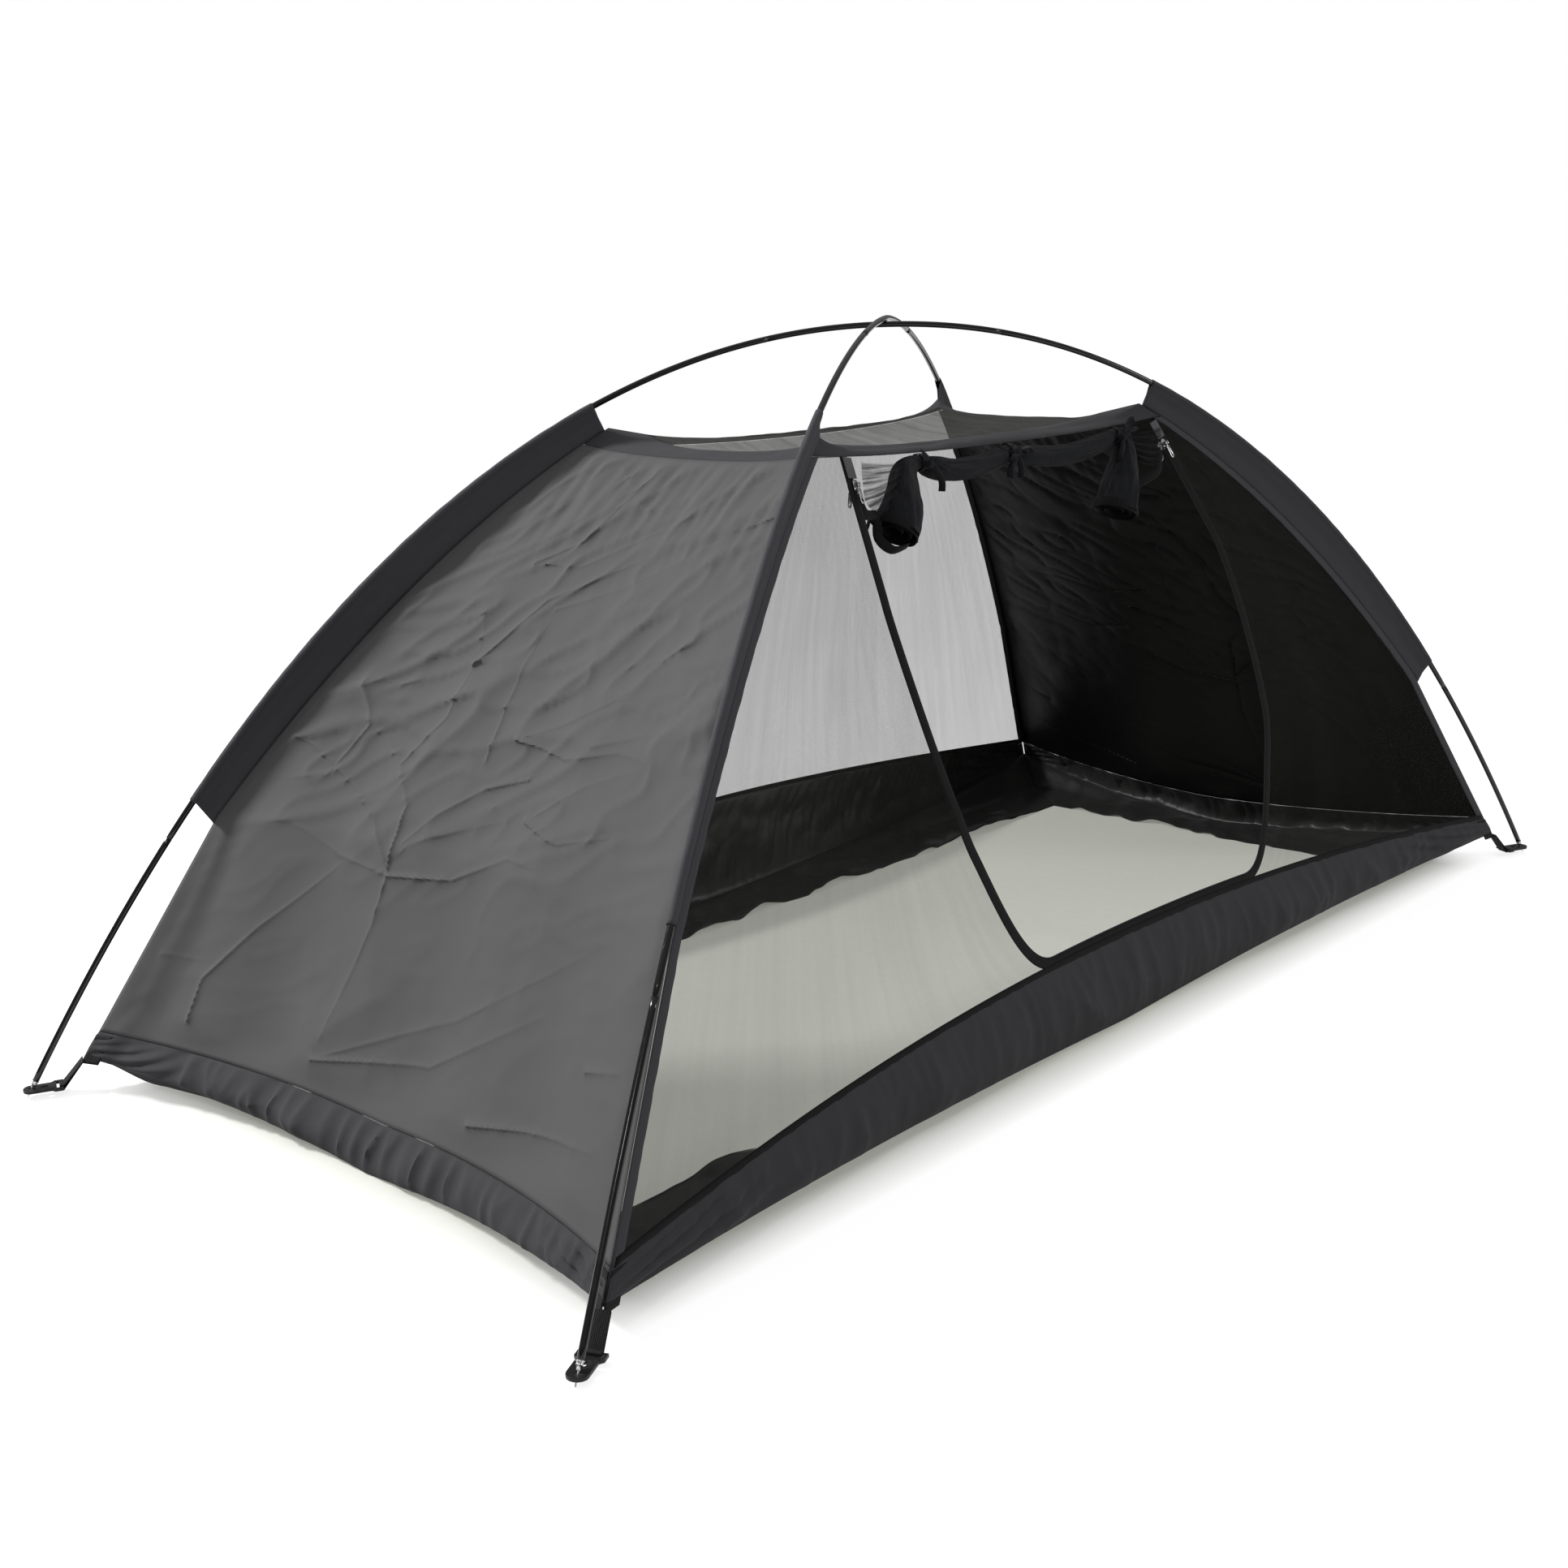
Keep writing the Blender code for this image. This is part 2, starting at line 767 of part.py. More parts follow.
def hip_point(height, signs):
    corner = hip(height)
    return Vector((signs[0] * corner.x, signs[1] * corner.y, height))


def hip_on_plane(centre, way, signs):
    """Point of the hip line on the plane square to the pole."""
    low, high = centre.z - sleeve_reach_top, min(centre.z, hip_top_height)
    rising = way if way.z > 0 else -way
    for _ in range(40):
        middle = (low + high) / 2
        if (hip_point(middle, signs) - centre).dot(rising) < 0:
            low = middle
        else:
            high = middle
    return hip_point((low + high) / 2, signs)


def slide_down_hip(point, signs, drop):
    return hip_point(point.z - drop, signs)


# Corner plates and straps

def baked(thing):
    """Mesh of an object with its modifiers applied; the object itself is removed."""
    evaluated = thing.evaluated_get(bpy.context.evaluated_depsgraph_get())
    mesh = bpy.data.meshes.new_from_object(evaluated)
    bpy.data.objects.remove(thing)
    return mesh


def cutter(mesh, name):
    thing = add_object(name, mesh, "plate")
    thing.hide_render = True
    thing.display_type = "WIRE"
    return thing


def box_mesh(name, low, high):
    bm = bmesh.new()
    bmesh.ops.create_cube(bm, size=1)
    size = [top - bottom for bottom, top in zip(low, high)]
    centre = [(top + bottom) / 2 for bottom, top in zip(low, high)]
    bmesh.ops.scale(bm, vec=size, verts=bm.verts)
    bmesh.ops.translate(bm, vec=centre, verts=bm.verts)
    return mesh_from(bm, name)


def slot_mesh(name, radius, half_run, height, sides=8):
    """Upright pin with long rounded ends along X."""
    bm = bmesh.new()
    bmesh.ops.create_circle(bm, cap_ends=True, segments=sides, radius=radius)
    for vert in bm.verts:
        if abs(vert.co.x) > radius / 100:
            vert.co.x += math.copysign(half_run, vert.co.x)
    made = bmesh.ops.extrude_face_region(bm, geom=bm.faces[:])
    moved = [item for item in made["geom"] if isinstance(item, bmesh.types.BMVert)]
    bmesh.ops.translate(bm, vec=(0, 0, height), verts=moved)
    bmesh.ops.translate(bm, vec=(0, 0, -height / 2), verts=bm.verts)
    return mesh_from(bm, name)


def plate_mesh():
    """Corner plate: rounded nose with a pin slot, a spare hole, and a bar for the strap."""
    bm = bmesh.new()
    half = plate_width / 2
    wing = plate_wing_width / 2
    bar_outer = plate_bar_reach + plate_bar_width
    wing_start = bar_outer - plate_wing_length
    nose = [
        (-plate_nose_reach + plate_nose_reach * (1 - math.cos(angle)), half * math.sin(angle))
        for angle in (index * math.pi / 8 for index in range(-4, 5))
    ]
    outline = nose + [(wing_start - wing + half, half), (wing_start, wing), (bar_outer, wing)]
    outline += [(bar_outer, -wing), (wing_start, -wing), (wing_start - wing + half, -half)]
    verts = [bm.verts.new((x, y, 0)) for x, y in outline]
    face = bm.faces.new(verts)
    made = bmesh.ops.extrude_face_region(bm, geom=[face])
    moved = [item for item in made["geom"] if isinstance(item, bmesh.types.BMVert)]
    bmesh.ops.translate(bm, vec=(0, 0, plate_thickness), verts=moved)
    plate = add_object("plate_blank", mesh_from(bm, "corner_plate"), "plate")
    overrun = plate_thickness * 3
    pin_slot = cutter(slot_mesh("pin_slot", plate_pin_hole_width / 2, plate_thickness / 2, overrun), "pin_slot")
    spare = cutter(slot_mesh("spare", plate_spare_hole_radius, plate_spare_hole_radius / 2, overrun), "spare")
    spare.location.x = (wing_start + plate_pin_hole_width) / 2
    slot_end = plate_bar_reach
    slot_half = strap_width / 2 + strap_thickness
    slot = cutter(
        box_mesh("slot", (slot_end - plate_slot_width, -slot_half, -overrun), (slot_end, slot_half, overrun)),
        "slot",
    )
    cutters = (pin_slot, spare, slot)
    for tool in cutters:
        cut = plate.modifiers.new(tool.name, "BOOLEAN")
        cut.object = tool
    bpy.context.view_layer.update()
    mesh = baked(plate)
    for tool in cutters:
        bpy.data.objects.remove(tool)
    return mesh


def pin_offset(pole):
    """How far a leaning pin has moved towards the tent where it passes the middle of its plate."""
    run = pole.run(0)
    return (plate_underside_height + plate_thickness / 2) * run.xy.length / run.z


def corner_place(corner, height, offset):
    """Frame at a plate's pin hole with X towards the middle of the tent."""
    signs = corner_signs[corner]
    way = plan_way()
    inward = Vector((-signs[0] * way.x, -signs[1] * way.y, 0))
    side = Vector((0, 0, 1)).cross(inward)
    matrix = Matrix((inward, side, Vector((0, 0, 1)))).transposed().to_4x4()
    matrix.translation = Vector((signs[0] * foot_half_length, signs[1] * foot_half_width, height))
    matrix.translation += inward * offset
    return matrix


def strap_mesh(offset):
    """Webbing that goes round the plate's bar and comes back on itself at the tent's corner."""
    gap = seat_gap
    bar_middle = plate_bar_reach + plate_bar_width / 2
    half_bar = plate_bar_width / 2 + gap
    thick = strap_thickness
    low, high = -gap, plate_thickness + gap
    far = corner_reach - offset - hip_seam_stand - gap
    join = corner_height - plate_underside_height - strap_corner_drop
    inner = [
        (far, join + gap / 2),
        (bar_middle + half_bar, high),
        (bar_middle - half_bar, high),
        (bar_middle - half_bar, low),
        (bar_middle + half_bar, low),
        (far, join - gap / 2),
    ]
    outer = [
        (far, join + gap / 2 + thick),
        (bar_middle + half_bar, high + thick),
        (bar_middle - half_bar - thick, high + thick),
        (bar_middle - half_bar - thick, low - thick),
        (bar_middle + half_bar, low - thick),
        (far, join - gap / 2 - thick),
    ]
    bm = bmesh.new()
    half = strap_width / 2
    rings = []
    for side in (-half, half):
        rings.append([bm.verts.new((x, side, z)) for x, z in inner + outer[::-1]])
    count = len(rings[0])
    skin(bm, rings)
    turns = len(inner)
    for ring in rings:
        for index in range(turns - 1):
            bm.faces.new((ring[index], ring[index + 1], ring[count - 2 - index], ring[count - 1 - index]))
    return mesh_from(bm, "strap")


def build_corners(poles):
    plate = plate_mesh()
    for pole, corners in poles.values():
        offset = pin_offset(pole)
        strap = strap_mesh(offset)
        for corner in corners:
            place = corner_place(corner, plate_underside_height, offset)
            add_object(f"corner_plate_{corner}", plate, "plate", place)
            add_object(f"corner_strap_{corner}", strap, "strap", place)


# Door zip

def bezier(start, first, second, end, steps):
    """Points of a curve after its start."""
    points = []
    for step in range(1, steps + 1):
        share = step / steps
        rest = 1 - share
        point = start * rest ** 3 + first * 3 * rest ** 2 * share
        point += second * 3 * rest * share ** 2 + end * share ** 3
        points.append(point)
    return points


def front_place(share, height):
    """Place along the front wall at a share of its half length, and its height."""
    return Vector((share * half_span("front", height), height))


def door_centre(height):
    """Middle of the door at a height; the door leans further right towards the ground."""
    low = front_place(door_low_centre_share, corner_height).x
    return blend(low, front_place(door_centre_share, roof_side_height).x, height / roof_side_height)


def door_line(side):
    """One side of the zip line in the front wall, from its top to its foot; side is -1 or 1."""
    top = front_place(door_top_share, roof_seam("front", door_top_share) - cloth_thickness - 2 * seam_gap)
    waist = front_place(door_waist_share, door_waist_rise_share * roof_side_height)
    knee = front_place(door_knee_share, door_knee_rise_share * roof_side_height)
    foot = front_place(door_foot_share, band_top("front", door_foot_share))
    place = door_centre(foot.y) + side * foot.x
    foot.y = band_top("front", share_at("front", place, band_top)) + zip_tape_width + seam_gap
    fall = (waist - top).normalized() * (waist.y - knee.y) / 3
    knee_way = Vector((foot.x - knee.x, -knee.y)).normalized()
    knee_pull = (knee.y - foot.y) / 2
    upper = bezier(waist, waist + fall * 0.45, knee - knee_way * knee_pull * 0.9, knee, zip_curve_steps)
    run_in = Vector(((knee.x - foot.x) / 2, 0))
    lower = bezier(knee, knee + knee_way * knee_pull, foot + run_in, foot, zip_curve_steps)
    line = [top, waist] + upper + lower
    return [Vector((door_centre(point.y) + side * point.x, point.y)) for point in line]


def zip_path():
    """Points of the zip's bead from the top left, along the foot, to the top right."""
    left, right = door_line(-1), door_line(1)[::-1]
    flat = left[-1], right[0]
    middle = []
    for step in range(1, 5):
        x = blend(flat[0].x, flat[1].x, step / 5)
        height = band_top("front", share_at("front", x, band_top))
        middle.append(Vector((x, height + zip_tape_width + seam_gap)))
    points = left + middle + right
    return [wall_point("front", point.x, point.y) for point in points]


def front_normal(point):
    """Outward normal of the front wall near a point."""
    step = seam_gap
    here = wall_point("front", point.x, point.z)
    along = wall_point("front", point.x + step, point.z) - here
    up = wall_point("front", point.x, point.z + step) - here
    return along.cross(up).normalized()


def zip_frames():
    """Matrices along the zip: X across towards the door, Y out of the wall, Z along the zip."""
    points = zip_path()
    frames = []
    last = len(points) - 1
    straight = {
        0: (points[0] + points[1]) / 2,
        1: (points[0] + points[1]) / 2,
        last - 1: (points[last] + points[last - 1]) / 2,
        last: (points[last] + points[last - 1]) / 2,
    }
    for index, point in enumerate(points):
        if index in (0, 1):
            way = points[1] - points[0]
        elif index in (last - 1, last):
            way = points[last] - points[last - 1]
        else:
            way = points[index + 1] - points[index - 1]
        way.normalize()
        out = front_normal(straight.get(index, point))
        out = (out - way * out.dot(way)).normalized()
        across = out.cross(way)
        matrix = Matrix((across, out, way)).transposed().to_4x4()
        matrix.translation = point
        frames.append(matrix)
    return frames


def zip_tape(frames):
    half_tape = zip_tape_thickness / 2
    half_bead = zip_bead_height / 2
    bead = zip_bead_width / 2
    section = [
        (-zip_tape_width, -half_tape), (-bead, -half_tape), (-bead, -half_bead), (bead, -half_bead),
        (bead, half_bead), (-bead, half_bead), (-bead, half_tape), (-zip_tape_width, half_tape),
    ]
    bm = bmesh.new()
    rings = [[bm.verts.new(frame @ Vector((x, y, 0))) for x, y in section] for frame in frames]
    skin(bm, rings)
    for ring, frame in ((rings[0], frames[0]), (rings[-1], frames[-1])):
        for vert in ring:
            vert.co += frame.col[2].to_3d() * (frame.translation.z - vert.co.z) / frame.col[2].z
        bm.faces.new((ring[0], ring[1], ring[6], ring[7]))
        bm.faces.new(ring[1:7])
    return add_object("door_zip_tape", mesh_from(bm, "door_zip_tape"), "zip")


def net_edge(frames, left):
    """Edge of a front net: up from the band seam, along the zip tape and on to the roof seam."""
    middle = len(frames) // 2
    leg = frames[:middle][::-1] if left else frames[middle:]
    outside = Vector((-zip_tape_width - tape_seam_gap, 0, 0))
    points = [frame @ outside for frame in leg]
    edge = []
    for point in points:
        share = share_at("front", point.x, band_top)
        seam = seam_point("front", share, band_top, seam_gap / 2)
        if point.z > seam.y + zip_tape_width / 4:
            if not edge:
                edge.append(wall_point("front", *seam))
            edge.append(point)
    last = edge[-1]
    last.z = roof_seam("front", share_at("front", last.x, roof_seam)) - cloth_thickness / 2 - seam_gap / 2
    return edge


def front_columns(frames):
    """Shares at which the front band bends, the same as those of the nets over it."""
    left = share_at("front", net_edge(frames, True)[0].x, band_top)
    right = share_at("front", net_edge(frames, False)[0].x, band_top)
    shares = [blend(-1, left, index / net_columns) for index in range(net_columns)]
    shares += [blend(left, right, index / door_columns) for index in range(door_columns)]
    shares += [blend(right, 1, index / net_columns) for index in range(net_columns + 1)]
    return shares


def front_net(name, frames, left):
    """Net between a front hip and the zip tape."""
    edge = net_edge(frames, left)
    turn = -1 if left else 1
    low_share = share_at("front", edge[0].x, band_top)
    high_share = share_at("front", edge[-1].x, roof_seam)
    under_roof = -cloth_thickness / 2 - seam_gap / 2

    def low(share):
        return seam_point("front", blend(turn, low_share, share), band_top, seam_gap / 2)

    def high(share):
        return seam_point("front", blend(turn, high_share, share), roof_seam, under_roof)

    def place(share, rise):
        zip_side = edge[round(rise * (len(edge) - 1))]
        if share > 1 - seam_gap:
            return zip_side
        hip_height = blend(low(0).y, high(0).y, rise)
        hip_side = Vector((turn * half_span("front", hip_height), hip_height))
        flat = blend(low(share), high(share), rise) + blend(hip_side, zip_side.xz, share)
        flat -= blend(blend(low(0), low(1), share), blend(high(0), high(1), share), rise)
        bend = zip_side - wall_point("front", zip_side.x, zip_side.z)
        out = fold(net_fold_depth, net_fold_count, share, rise) * (1 - share)
        return wall_point("front", flat.x, flat.y, out) + bend * share ** 3
    return cloth(name, place, net_columns, len(edge) - 1, "net")


def slider_frame(frames, left):
    """Frame at a closed slider's middle on the straight top of its zip, Z up along the zip."""
    top, below = (frames[0], frames[1]) if left else (frames[-1], frames[-2])
    up = (top.translation - below.translation).normalized()
    out = top.col[1].to_3d()
    across = out.cross(up)
    matrix = Matrix((across, out, up)).transposed().to_4x4()
    drop = stop_tab_length + slider_top_gap + slider_length / 2
    matrix.translation = top.translation - up * drop
    return matrix


def slider_mesh(name, door_side):
    """Double slider: two plates joined on the door side, and a bail with a pin on each face."""
    half_gap = zip_bead_height / 2 + slider_clearance
    half = half_gap + slider_plate
    reach = zip_bead_width / 2 + slider_clearance
    spine = reach + slider_plate
    low_x, high_x = (-slider_width + spine, spine)
    if door_side < 0:
        low_x, high_x = -high_x, -low_x
    bm = bmesh.new()
    half_length = slider_length / 2
    shoulder = slider_width / 4
    outline = [
        (low_x, -half_length), (high_x, -half_length), (high_x, half_length - shoulder),
        (high_x - shoulder, half_length), (low_x + shoulder, half_length), (low_x, half_length - shoulder),
    ]
    verts = [bm.verts.new((x, -half, z)) for x, z in outline]
    face = bm.faces.new(verts)
    made = bmesh.ops.extrude_face_region(bm, geom=[face])
    moved = [item for item in made["geom"] if isinstance(item, bmesh.types.BMVert)]
    bmesh.ops.translate(bm, vec=(0, 2 * half, 0), verts=moved)
    body = add_object("slider_blank", mesh_from(bm, name), "metal")
    channel_low = -slider_width * 2 if door_side > 0 else -reach
    channel_high = reach if door_side > 0 else slider_width * 2
    channel = cutter(
        box_mesh("channel", (channel_low, -half_gap, -slider_length), (channel_high, half_gap, slider_length)),
        "channel",
    )
    tools = [(channel, "DIFFERENCE")]
    middle_x = (low_x + high_x) / 2
    eye_half = pull_eye_width / 2 + slider_clearance
    for face_side in (-1, 1):
        for post_side in (-1, 1):
            inner, outer = post_side * eye_half, post_side * (eye_half + bail_post)
            near, far = face_side * (half - slider_plate / 2), face_side * (half + bail_height)
            low = (middle_x + min(inner, outer), min(near, far), -bail_length / 2)
            high = (middle_x + max(inner, outer), max(near, far), bail_length / 2)
            tools.append((cutter(box_mesh("post", low, high), "post"), "UNION"))
        bm = bmesh.new()
        length = 2 * eye_half + bail_post
        bmesh.ops.create_cone(
            bm, cap_ends=True, segments=round_sides, radius1=bail_pin_radius, radius2=bail_pin_radius,
            depth=length,
        )
        turn = Matrix.Rotation(math.pi / 2, 4, "Y")
        bmesh.ops.transform(bm, matrix=turn, verts=bm.verts)
        shift = (middle_x, face_side * (half + pin_stand()), 0)
        bmesh.ops.translate(bm, vec=shift, verts=bm.verts)
        tools.append((cutter(mesh_from(bm, "bail_pin"), "bail_pin"), "UNION"))
    for tool, operation in tools:
        cut = body.modifiers.new(tool.name, "BOOLEAN")
        cut.object = tool
        cut.operation = operation
    bpy.context.view_layer.update()
    mesh = baked(body)
    for tool, _ in tools:
        bpy.data.objects.remove(tool)
    return mesh, middle_x, half


def pin_stand():
    """Height of a bail's pin over the slider's plate."""
    return pull_eye_radius + slider_clearance


def pull_mesh(name):
    """Pull tab that hangs from its eye at the origin, with a drop-shaped hole near its tip."""
    half = pull_thickness / 2
    neck = pull_eye_width / 2
    side = pull_width / 2
    shoulder = -(bail_length + pull_eye_radius) / 2
    tip = -pull_length
    outline = [
        (neck, 0), (neck, shoulder), (side, shoulder - neck), (side, tip + side), (side * 0.7, tip + side * 0.3),
        (0, tip), (-side * 0.7, tip + side * 0.3), (-side, tip + side), (-side, shoulder - neck),
        (-neck, shoulder), (-neck, 0),
    ]
    bm = bmesh.new()
    face = bm.faces.new([bm.verts.new((x, -half, z)) for x, z in outline])
    made = bmesh.ops.extrude_face_region(bm, geom=[face])
    moved = [item for item in made["geom"] if isinstance(item, bmesh.types.BMVert)]
    bmesh.ops.translate(bm, vec=(0, pull_thickness, 0), verts=moved)
    blank = add_object("pull_blank", mesh_from(bm, name), "metal")
    turn = Matrix.Rotation(math.pi / 2, 4, "Y")
    stand = Matrix.Rotation(math.pi / 2, 4, "X")
    knuckle = cutter(slot_mesh("knuckle", pull_eye_radius, 0.0, pull_eye_width), "knuckle")
    knuckle.matrix_world = turn
    eye = cutter(slot_mesh("eye", bail_pin_radius + slider_clearance, 0.0, pull_eye_width * 3), "eye")
    eye.matrix_world = turn
    hole = cutter(drop_mesh("hole"), "hole")
    hole.matrix_world = Matrix.Translation((0, 0, tip + side * 1.5)) @ stand
    tools = ((knuckle, "UNION"), (eye, "DIFFERENCE"), (hole, "DIFFERENCE"))
    for tool, operation in tools:
        cut = blank.modifiers.new(tool.name, "BOOLEAN")
        cut.object = tool
        cut.operation = operation
    bpy.context.view_layer.update()
    mesh = baked(blank)
    for tool, _ in tools:
        bpy.data.objects.remove(tool)
    return mesh


def drop_mesh(name):
    """Upright pin whose outline is a drop with its point towards +Y."""
    bm = bmesh.new()
    bmesh.ops.create_circle(bm, cap_ends=True, segments=round_sides, radius=pull_hole_radius)
    point = max(bm.verts, key=lambda vert: vert.co.y)
    point.co.y += pull_hole_radius * 2
    made = bmesh.ops.extrude_face_region(bm, geom=bm.faces[:])
    moved = [item for item in made["geom"] if isinstance(item, bmesh.types.BMVert)]
    bmesh.ops.translate(bm, vec=(0, 0, pull_thickness * 3), verts=moved)
    bmesh.ops.translate(bm, vec=(0, 0, -pull_thickness * 1.5), verts=bm.verts)
    return mesh_from(bm, name)


def build_front(frames):
    zip_tape(frames)
    front_net("front_net_left", frames, True)
    front_net("front_net_right", frames, False)
    pull = pull_mesh("pull")
    for label, left in (("left", True), ("right", False)):
        place = slider_frame(frames, left)
        door_side = -1 if left else 1
        mesh, middle_x, half = slider_mesh(f"slider_{label}", door_side)
        add_object(f"zip_slider_{label}", mesh, "metal", place)
        stand = half + pin_stand()
        outer = place @ Matrix.Translation((middle_x, stand, 0))
        add_object(f"zip_pull_outer_{label}", pull, "metal", outer)
        inner = place @ Matrix.Translation((middle_x, -stand, 0))
        hang = Matrix.Translation(inner.translation) @ upright(place)
        add_object(f"zip_pull_inner_{label}", pull, "metal", hang)
        stop_tab(f"zip_stop_tab_{label}", place, label)


def upright(place):
    """Turn that keeps a slider's crosswise axis and lets Z point straight up."""
    across = place.col[0].to_3d()
    up = Vector((0, 0, 1))
    up = (up - across * up.dot(across)).normalized()
    out = up.cross(across)
    return Matrix((across, out, up)).transposed().to_4x4()


def stop_tab(name, place, label):
    """Cloth patch over the top of the zip, on the outside."""
    half = stop_tab_width / 2
    low = slider_length / 2 + slider_top_gap
    high = low + stop_tab_length - cloth_thickness
    near = zip_bead_height / 2 + seat_gap
    shift = zip_tape_width / 4 if label == "left" else -zip_tape_width / 4
    mesh = box_mesh(name, (-half + shift, near, low), (half + shift, near + cloth_thickness, high))
    return add_object(name, mesh, "tab", place)


# Rolled door

def roof_edge_point(x):
    """Lower edge of the roof band on the front, above a place along X."""
    return roof_loop("front", share_at("front", x, roof_seam), "outer")


def tie_centre(share):
    """Middle of a tie's loop, sewn on under the front roof edge at a share of its half length."""
    drop = tie_loop_radius() + tie_thickness + seat_gap + cloth_thickness / 2
    return roof_edge_point(front_place(share, roof_side_height).x) - Vector((0, 0, drop))


def tie_loop_radius():
    """Inside of a tie's loop, measured to its corners."""
    return (roll_neck_radius + 2 * seat_gap) / math.cos(math.pi / tie_loop_sides)


def roll_stations():
    """Middle points, half widths and half depths along the rolled door."""
    neck = Vector((tie_width, 0, 0))
    stations = roll_end(tie_left_share, -1, roll_left_lean, roll_left_drop)[::-1]
    spans = ((tie_left_share, tie_middle_share), (tie_middle_share, tie_right_share))
    for start, end in spans:
        low, high = tie_centre(start), tie_centre(end)
        stations += [(low - neck, roll_neck_radius, roll_neck_radius)]
        stations += [(low + neck, roll_neck_radius, roll_neck_radius)]
        for share in roll_belly_shares:
            belly = math.sin(math.pi * share)
            radius = blend(roll_neck_radius, roll_body_radius, belly ** 0.5)
            drop = roll_sag * belly + radius - roll_neck_radius
            stations.append((low.lerp(high, share) - Vector((0, 0, drop)), radius, radius))
    stations += [(high - neck, roll_neck_radius, roll_neck_radius)]
    stations += [(high + neck, roll_neck_radius, roll_neck_radius)]
    return stations + roll_end(tie_right_share, 1, roll_right_lean, roll_right_drop)


def roll_end(share, side, lean, drop):
    """Stations of an end of the roll that hangs from an outer tie."""
    start = tie_centre(share) + Vector((side * tie_width, 0, 0))
    end = start + Vector((lean, -roll_end_out, -drop))
    turn = Vector((side * roll_end_half_width, 0, 0))
    points = bezier(start, start + turn, end - Vector((lean, 0, -drop)) / 3, end, roll_end_steps)
    stations = []
    for index, point in enumerate(points):
        spread = (index + 1) / len(points)
        width = blend(roll_neck_radius, roll_end_half_width, spread)
        depth = blend(roll_neck_radius, roll_end_half_depth, spread)
        stations.append((point, width, depth))
    return stations


def rolled_door():
    """The open door, rolled up and gathered, with both ends hanging down from the outer ties."""
    stations = roll_stations()
    sides = 10
    bm = bmesh.new()
    rings = []
    for index, (middle, width, depth) in enumerate(stations):
        before = stations[max(0, index - 1)][0]
        after = stations[min(len(stations) - 1, index + 1)][0]
        way = (after - before).normalized()
        if width == roll_neck_radius:
            way = Vector((1, 0, 0))
        out = Vector((0, -1, 0))
        out = (out - way * out.dot(way)).normalized()
        up = out.cross(way)
        ring = []
        for step in range(sides):
            angle = 2 * math.pi * step / sides
            ring.append(bm.verts.new(middle + up * width * math.cos(angle) + out * depth * math.sin(angle)))
        rings.append(ring)
    skin(bm, rings)
    for ring in (rings[0], rings[-1]):
        bm.faces.new(ring)
    mesh = mesh_from(bm, "rolled_door")
    smooth(mesh, 60)
    return add_object("rolled_door", mesh, "roll")


def door_tie(name, share, turns):
    """Ribbon round the rolled door with a knot in front and two tails, turned in degrees from below."""
    centre = tie_centre(share)
    inner = tie_loop_radius()
    outer = inner + tie_thickness
    bm = bmesh.new()
    section = [(inner, -tie_width / 2), (outer, -tie_width / 2), (outer, tie_width / 2), (inner, tie_width / 2)]
    verts = [bm.verts.new((along, radius, 0)) for radius, along in section]
    edges = [bm.edges.new((before, after)) for before, after in zip(verts, verts[1:] + verts[:1])]
    bmesh.ops.spin(
        bm, geom=verts + edges, cent=(0, 0, 0), axis=(1, 0, 0), angle=2 * math.pi, steps=tie_loop_sides,
        use_merge=True,
    )
    ring = add_object(name, mesh_from(bm, name), "roll", Matrix.Translation(centre))
    knot_shares = (1.2, 0.75, 1.0)
    front = tie_thickness - outer * math.cos(math.pi / tie_loop_sides) - tie_knot_radius * knot_shares[1]
    bm = bmesh.new()
    bmesh.ops.create_icosphere(bm, subdivisions=1, radius=tie_knot_radius)
    bmesh.ops.scale(bm, vec=knot_shares, verts=bm.verts)
    knot = cutter(mesh_from(bm, "knot"), "knot")
    knot.location = centre + Vector((0, front, 0))
    tools = [knot]
    for turn in turns:
        half = tie_tail_width / 2
        tail = box_mesh("tail", (-half, -tie_thickness / 2, -tie_tail_length), (half, tie_thickness / 2, 0))
        piece = cutter(tail, "tail")
        lean = Matrix.Rotation(math.radians(turn), 4, "Y") @ Matrix.Rotation(math.radians(-12), 4, "X")
        piece.matrix_world = Matrix.Translation(centre + Vector((0, front, 0))) @ lean
        tools.append(piece)
    for tool in tools:
        cut = ring.modifiers.new(tool.name, "BOOLEAN")
        cut.object = tool
        cut.operation = "UNION"
    return ring


def build_door():
    rolled_door()
    door_tie("door_tie_left", tie_left_share, (-28, -75))
    door_tie("door_tie_middle", tie_middle_share, (-28, 28))
    door_tie("door_tie_right", tie_right_share, (75, -150))


def main():
    clear_scene()
    poles = build_poles()
    for label, (pole, ends) in poles.items():
        for end, first_half in zip(ends, (True, False)):
            sleeve(f"pole_sleeve_{end}", pole, first_half, end)
    wall_panel("end_panel_left", "left", end_fold_depth, end_fold_count, "end")
    wall_panel("end_panel_right", "right", end_fold_depth, end_fold_count, "end")
    wall_panel("back_net", "back", net_fold_depth, net_fold_count, "net")
    frames = zip_frames()
    base_band("base_band_front", "front", front_columns(frames))
    for wall in ("back", "left", "right"):
        base_band(f"base_band_{wall}", wall, wall_columns(wall))
    roof_band()
    roof_net()
    build_corners(poles)
    build_front(frames)
    build_door()


main()
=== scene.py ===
"""Insect net tent for one sleeper: cloth, nets, poles, zip, rolled door and a plain studio stage.

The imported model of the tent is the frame. Each operator makes one piece or one group of like pieces
round it, in the same metres and on the same axes, and the last one makes the stage.
"""

import json
import math

import bmesh
import bpy
import numpy as np
from bpy.props import FloatProperty, FloatVectorProperty, PointerProperty
from mathutils import Matrix, Vector, noise


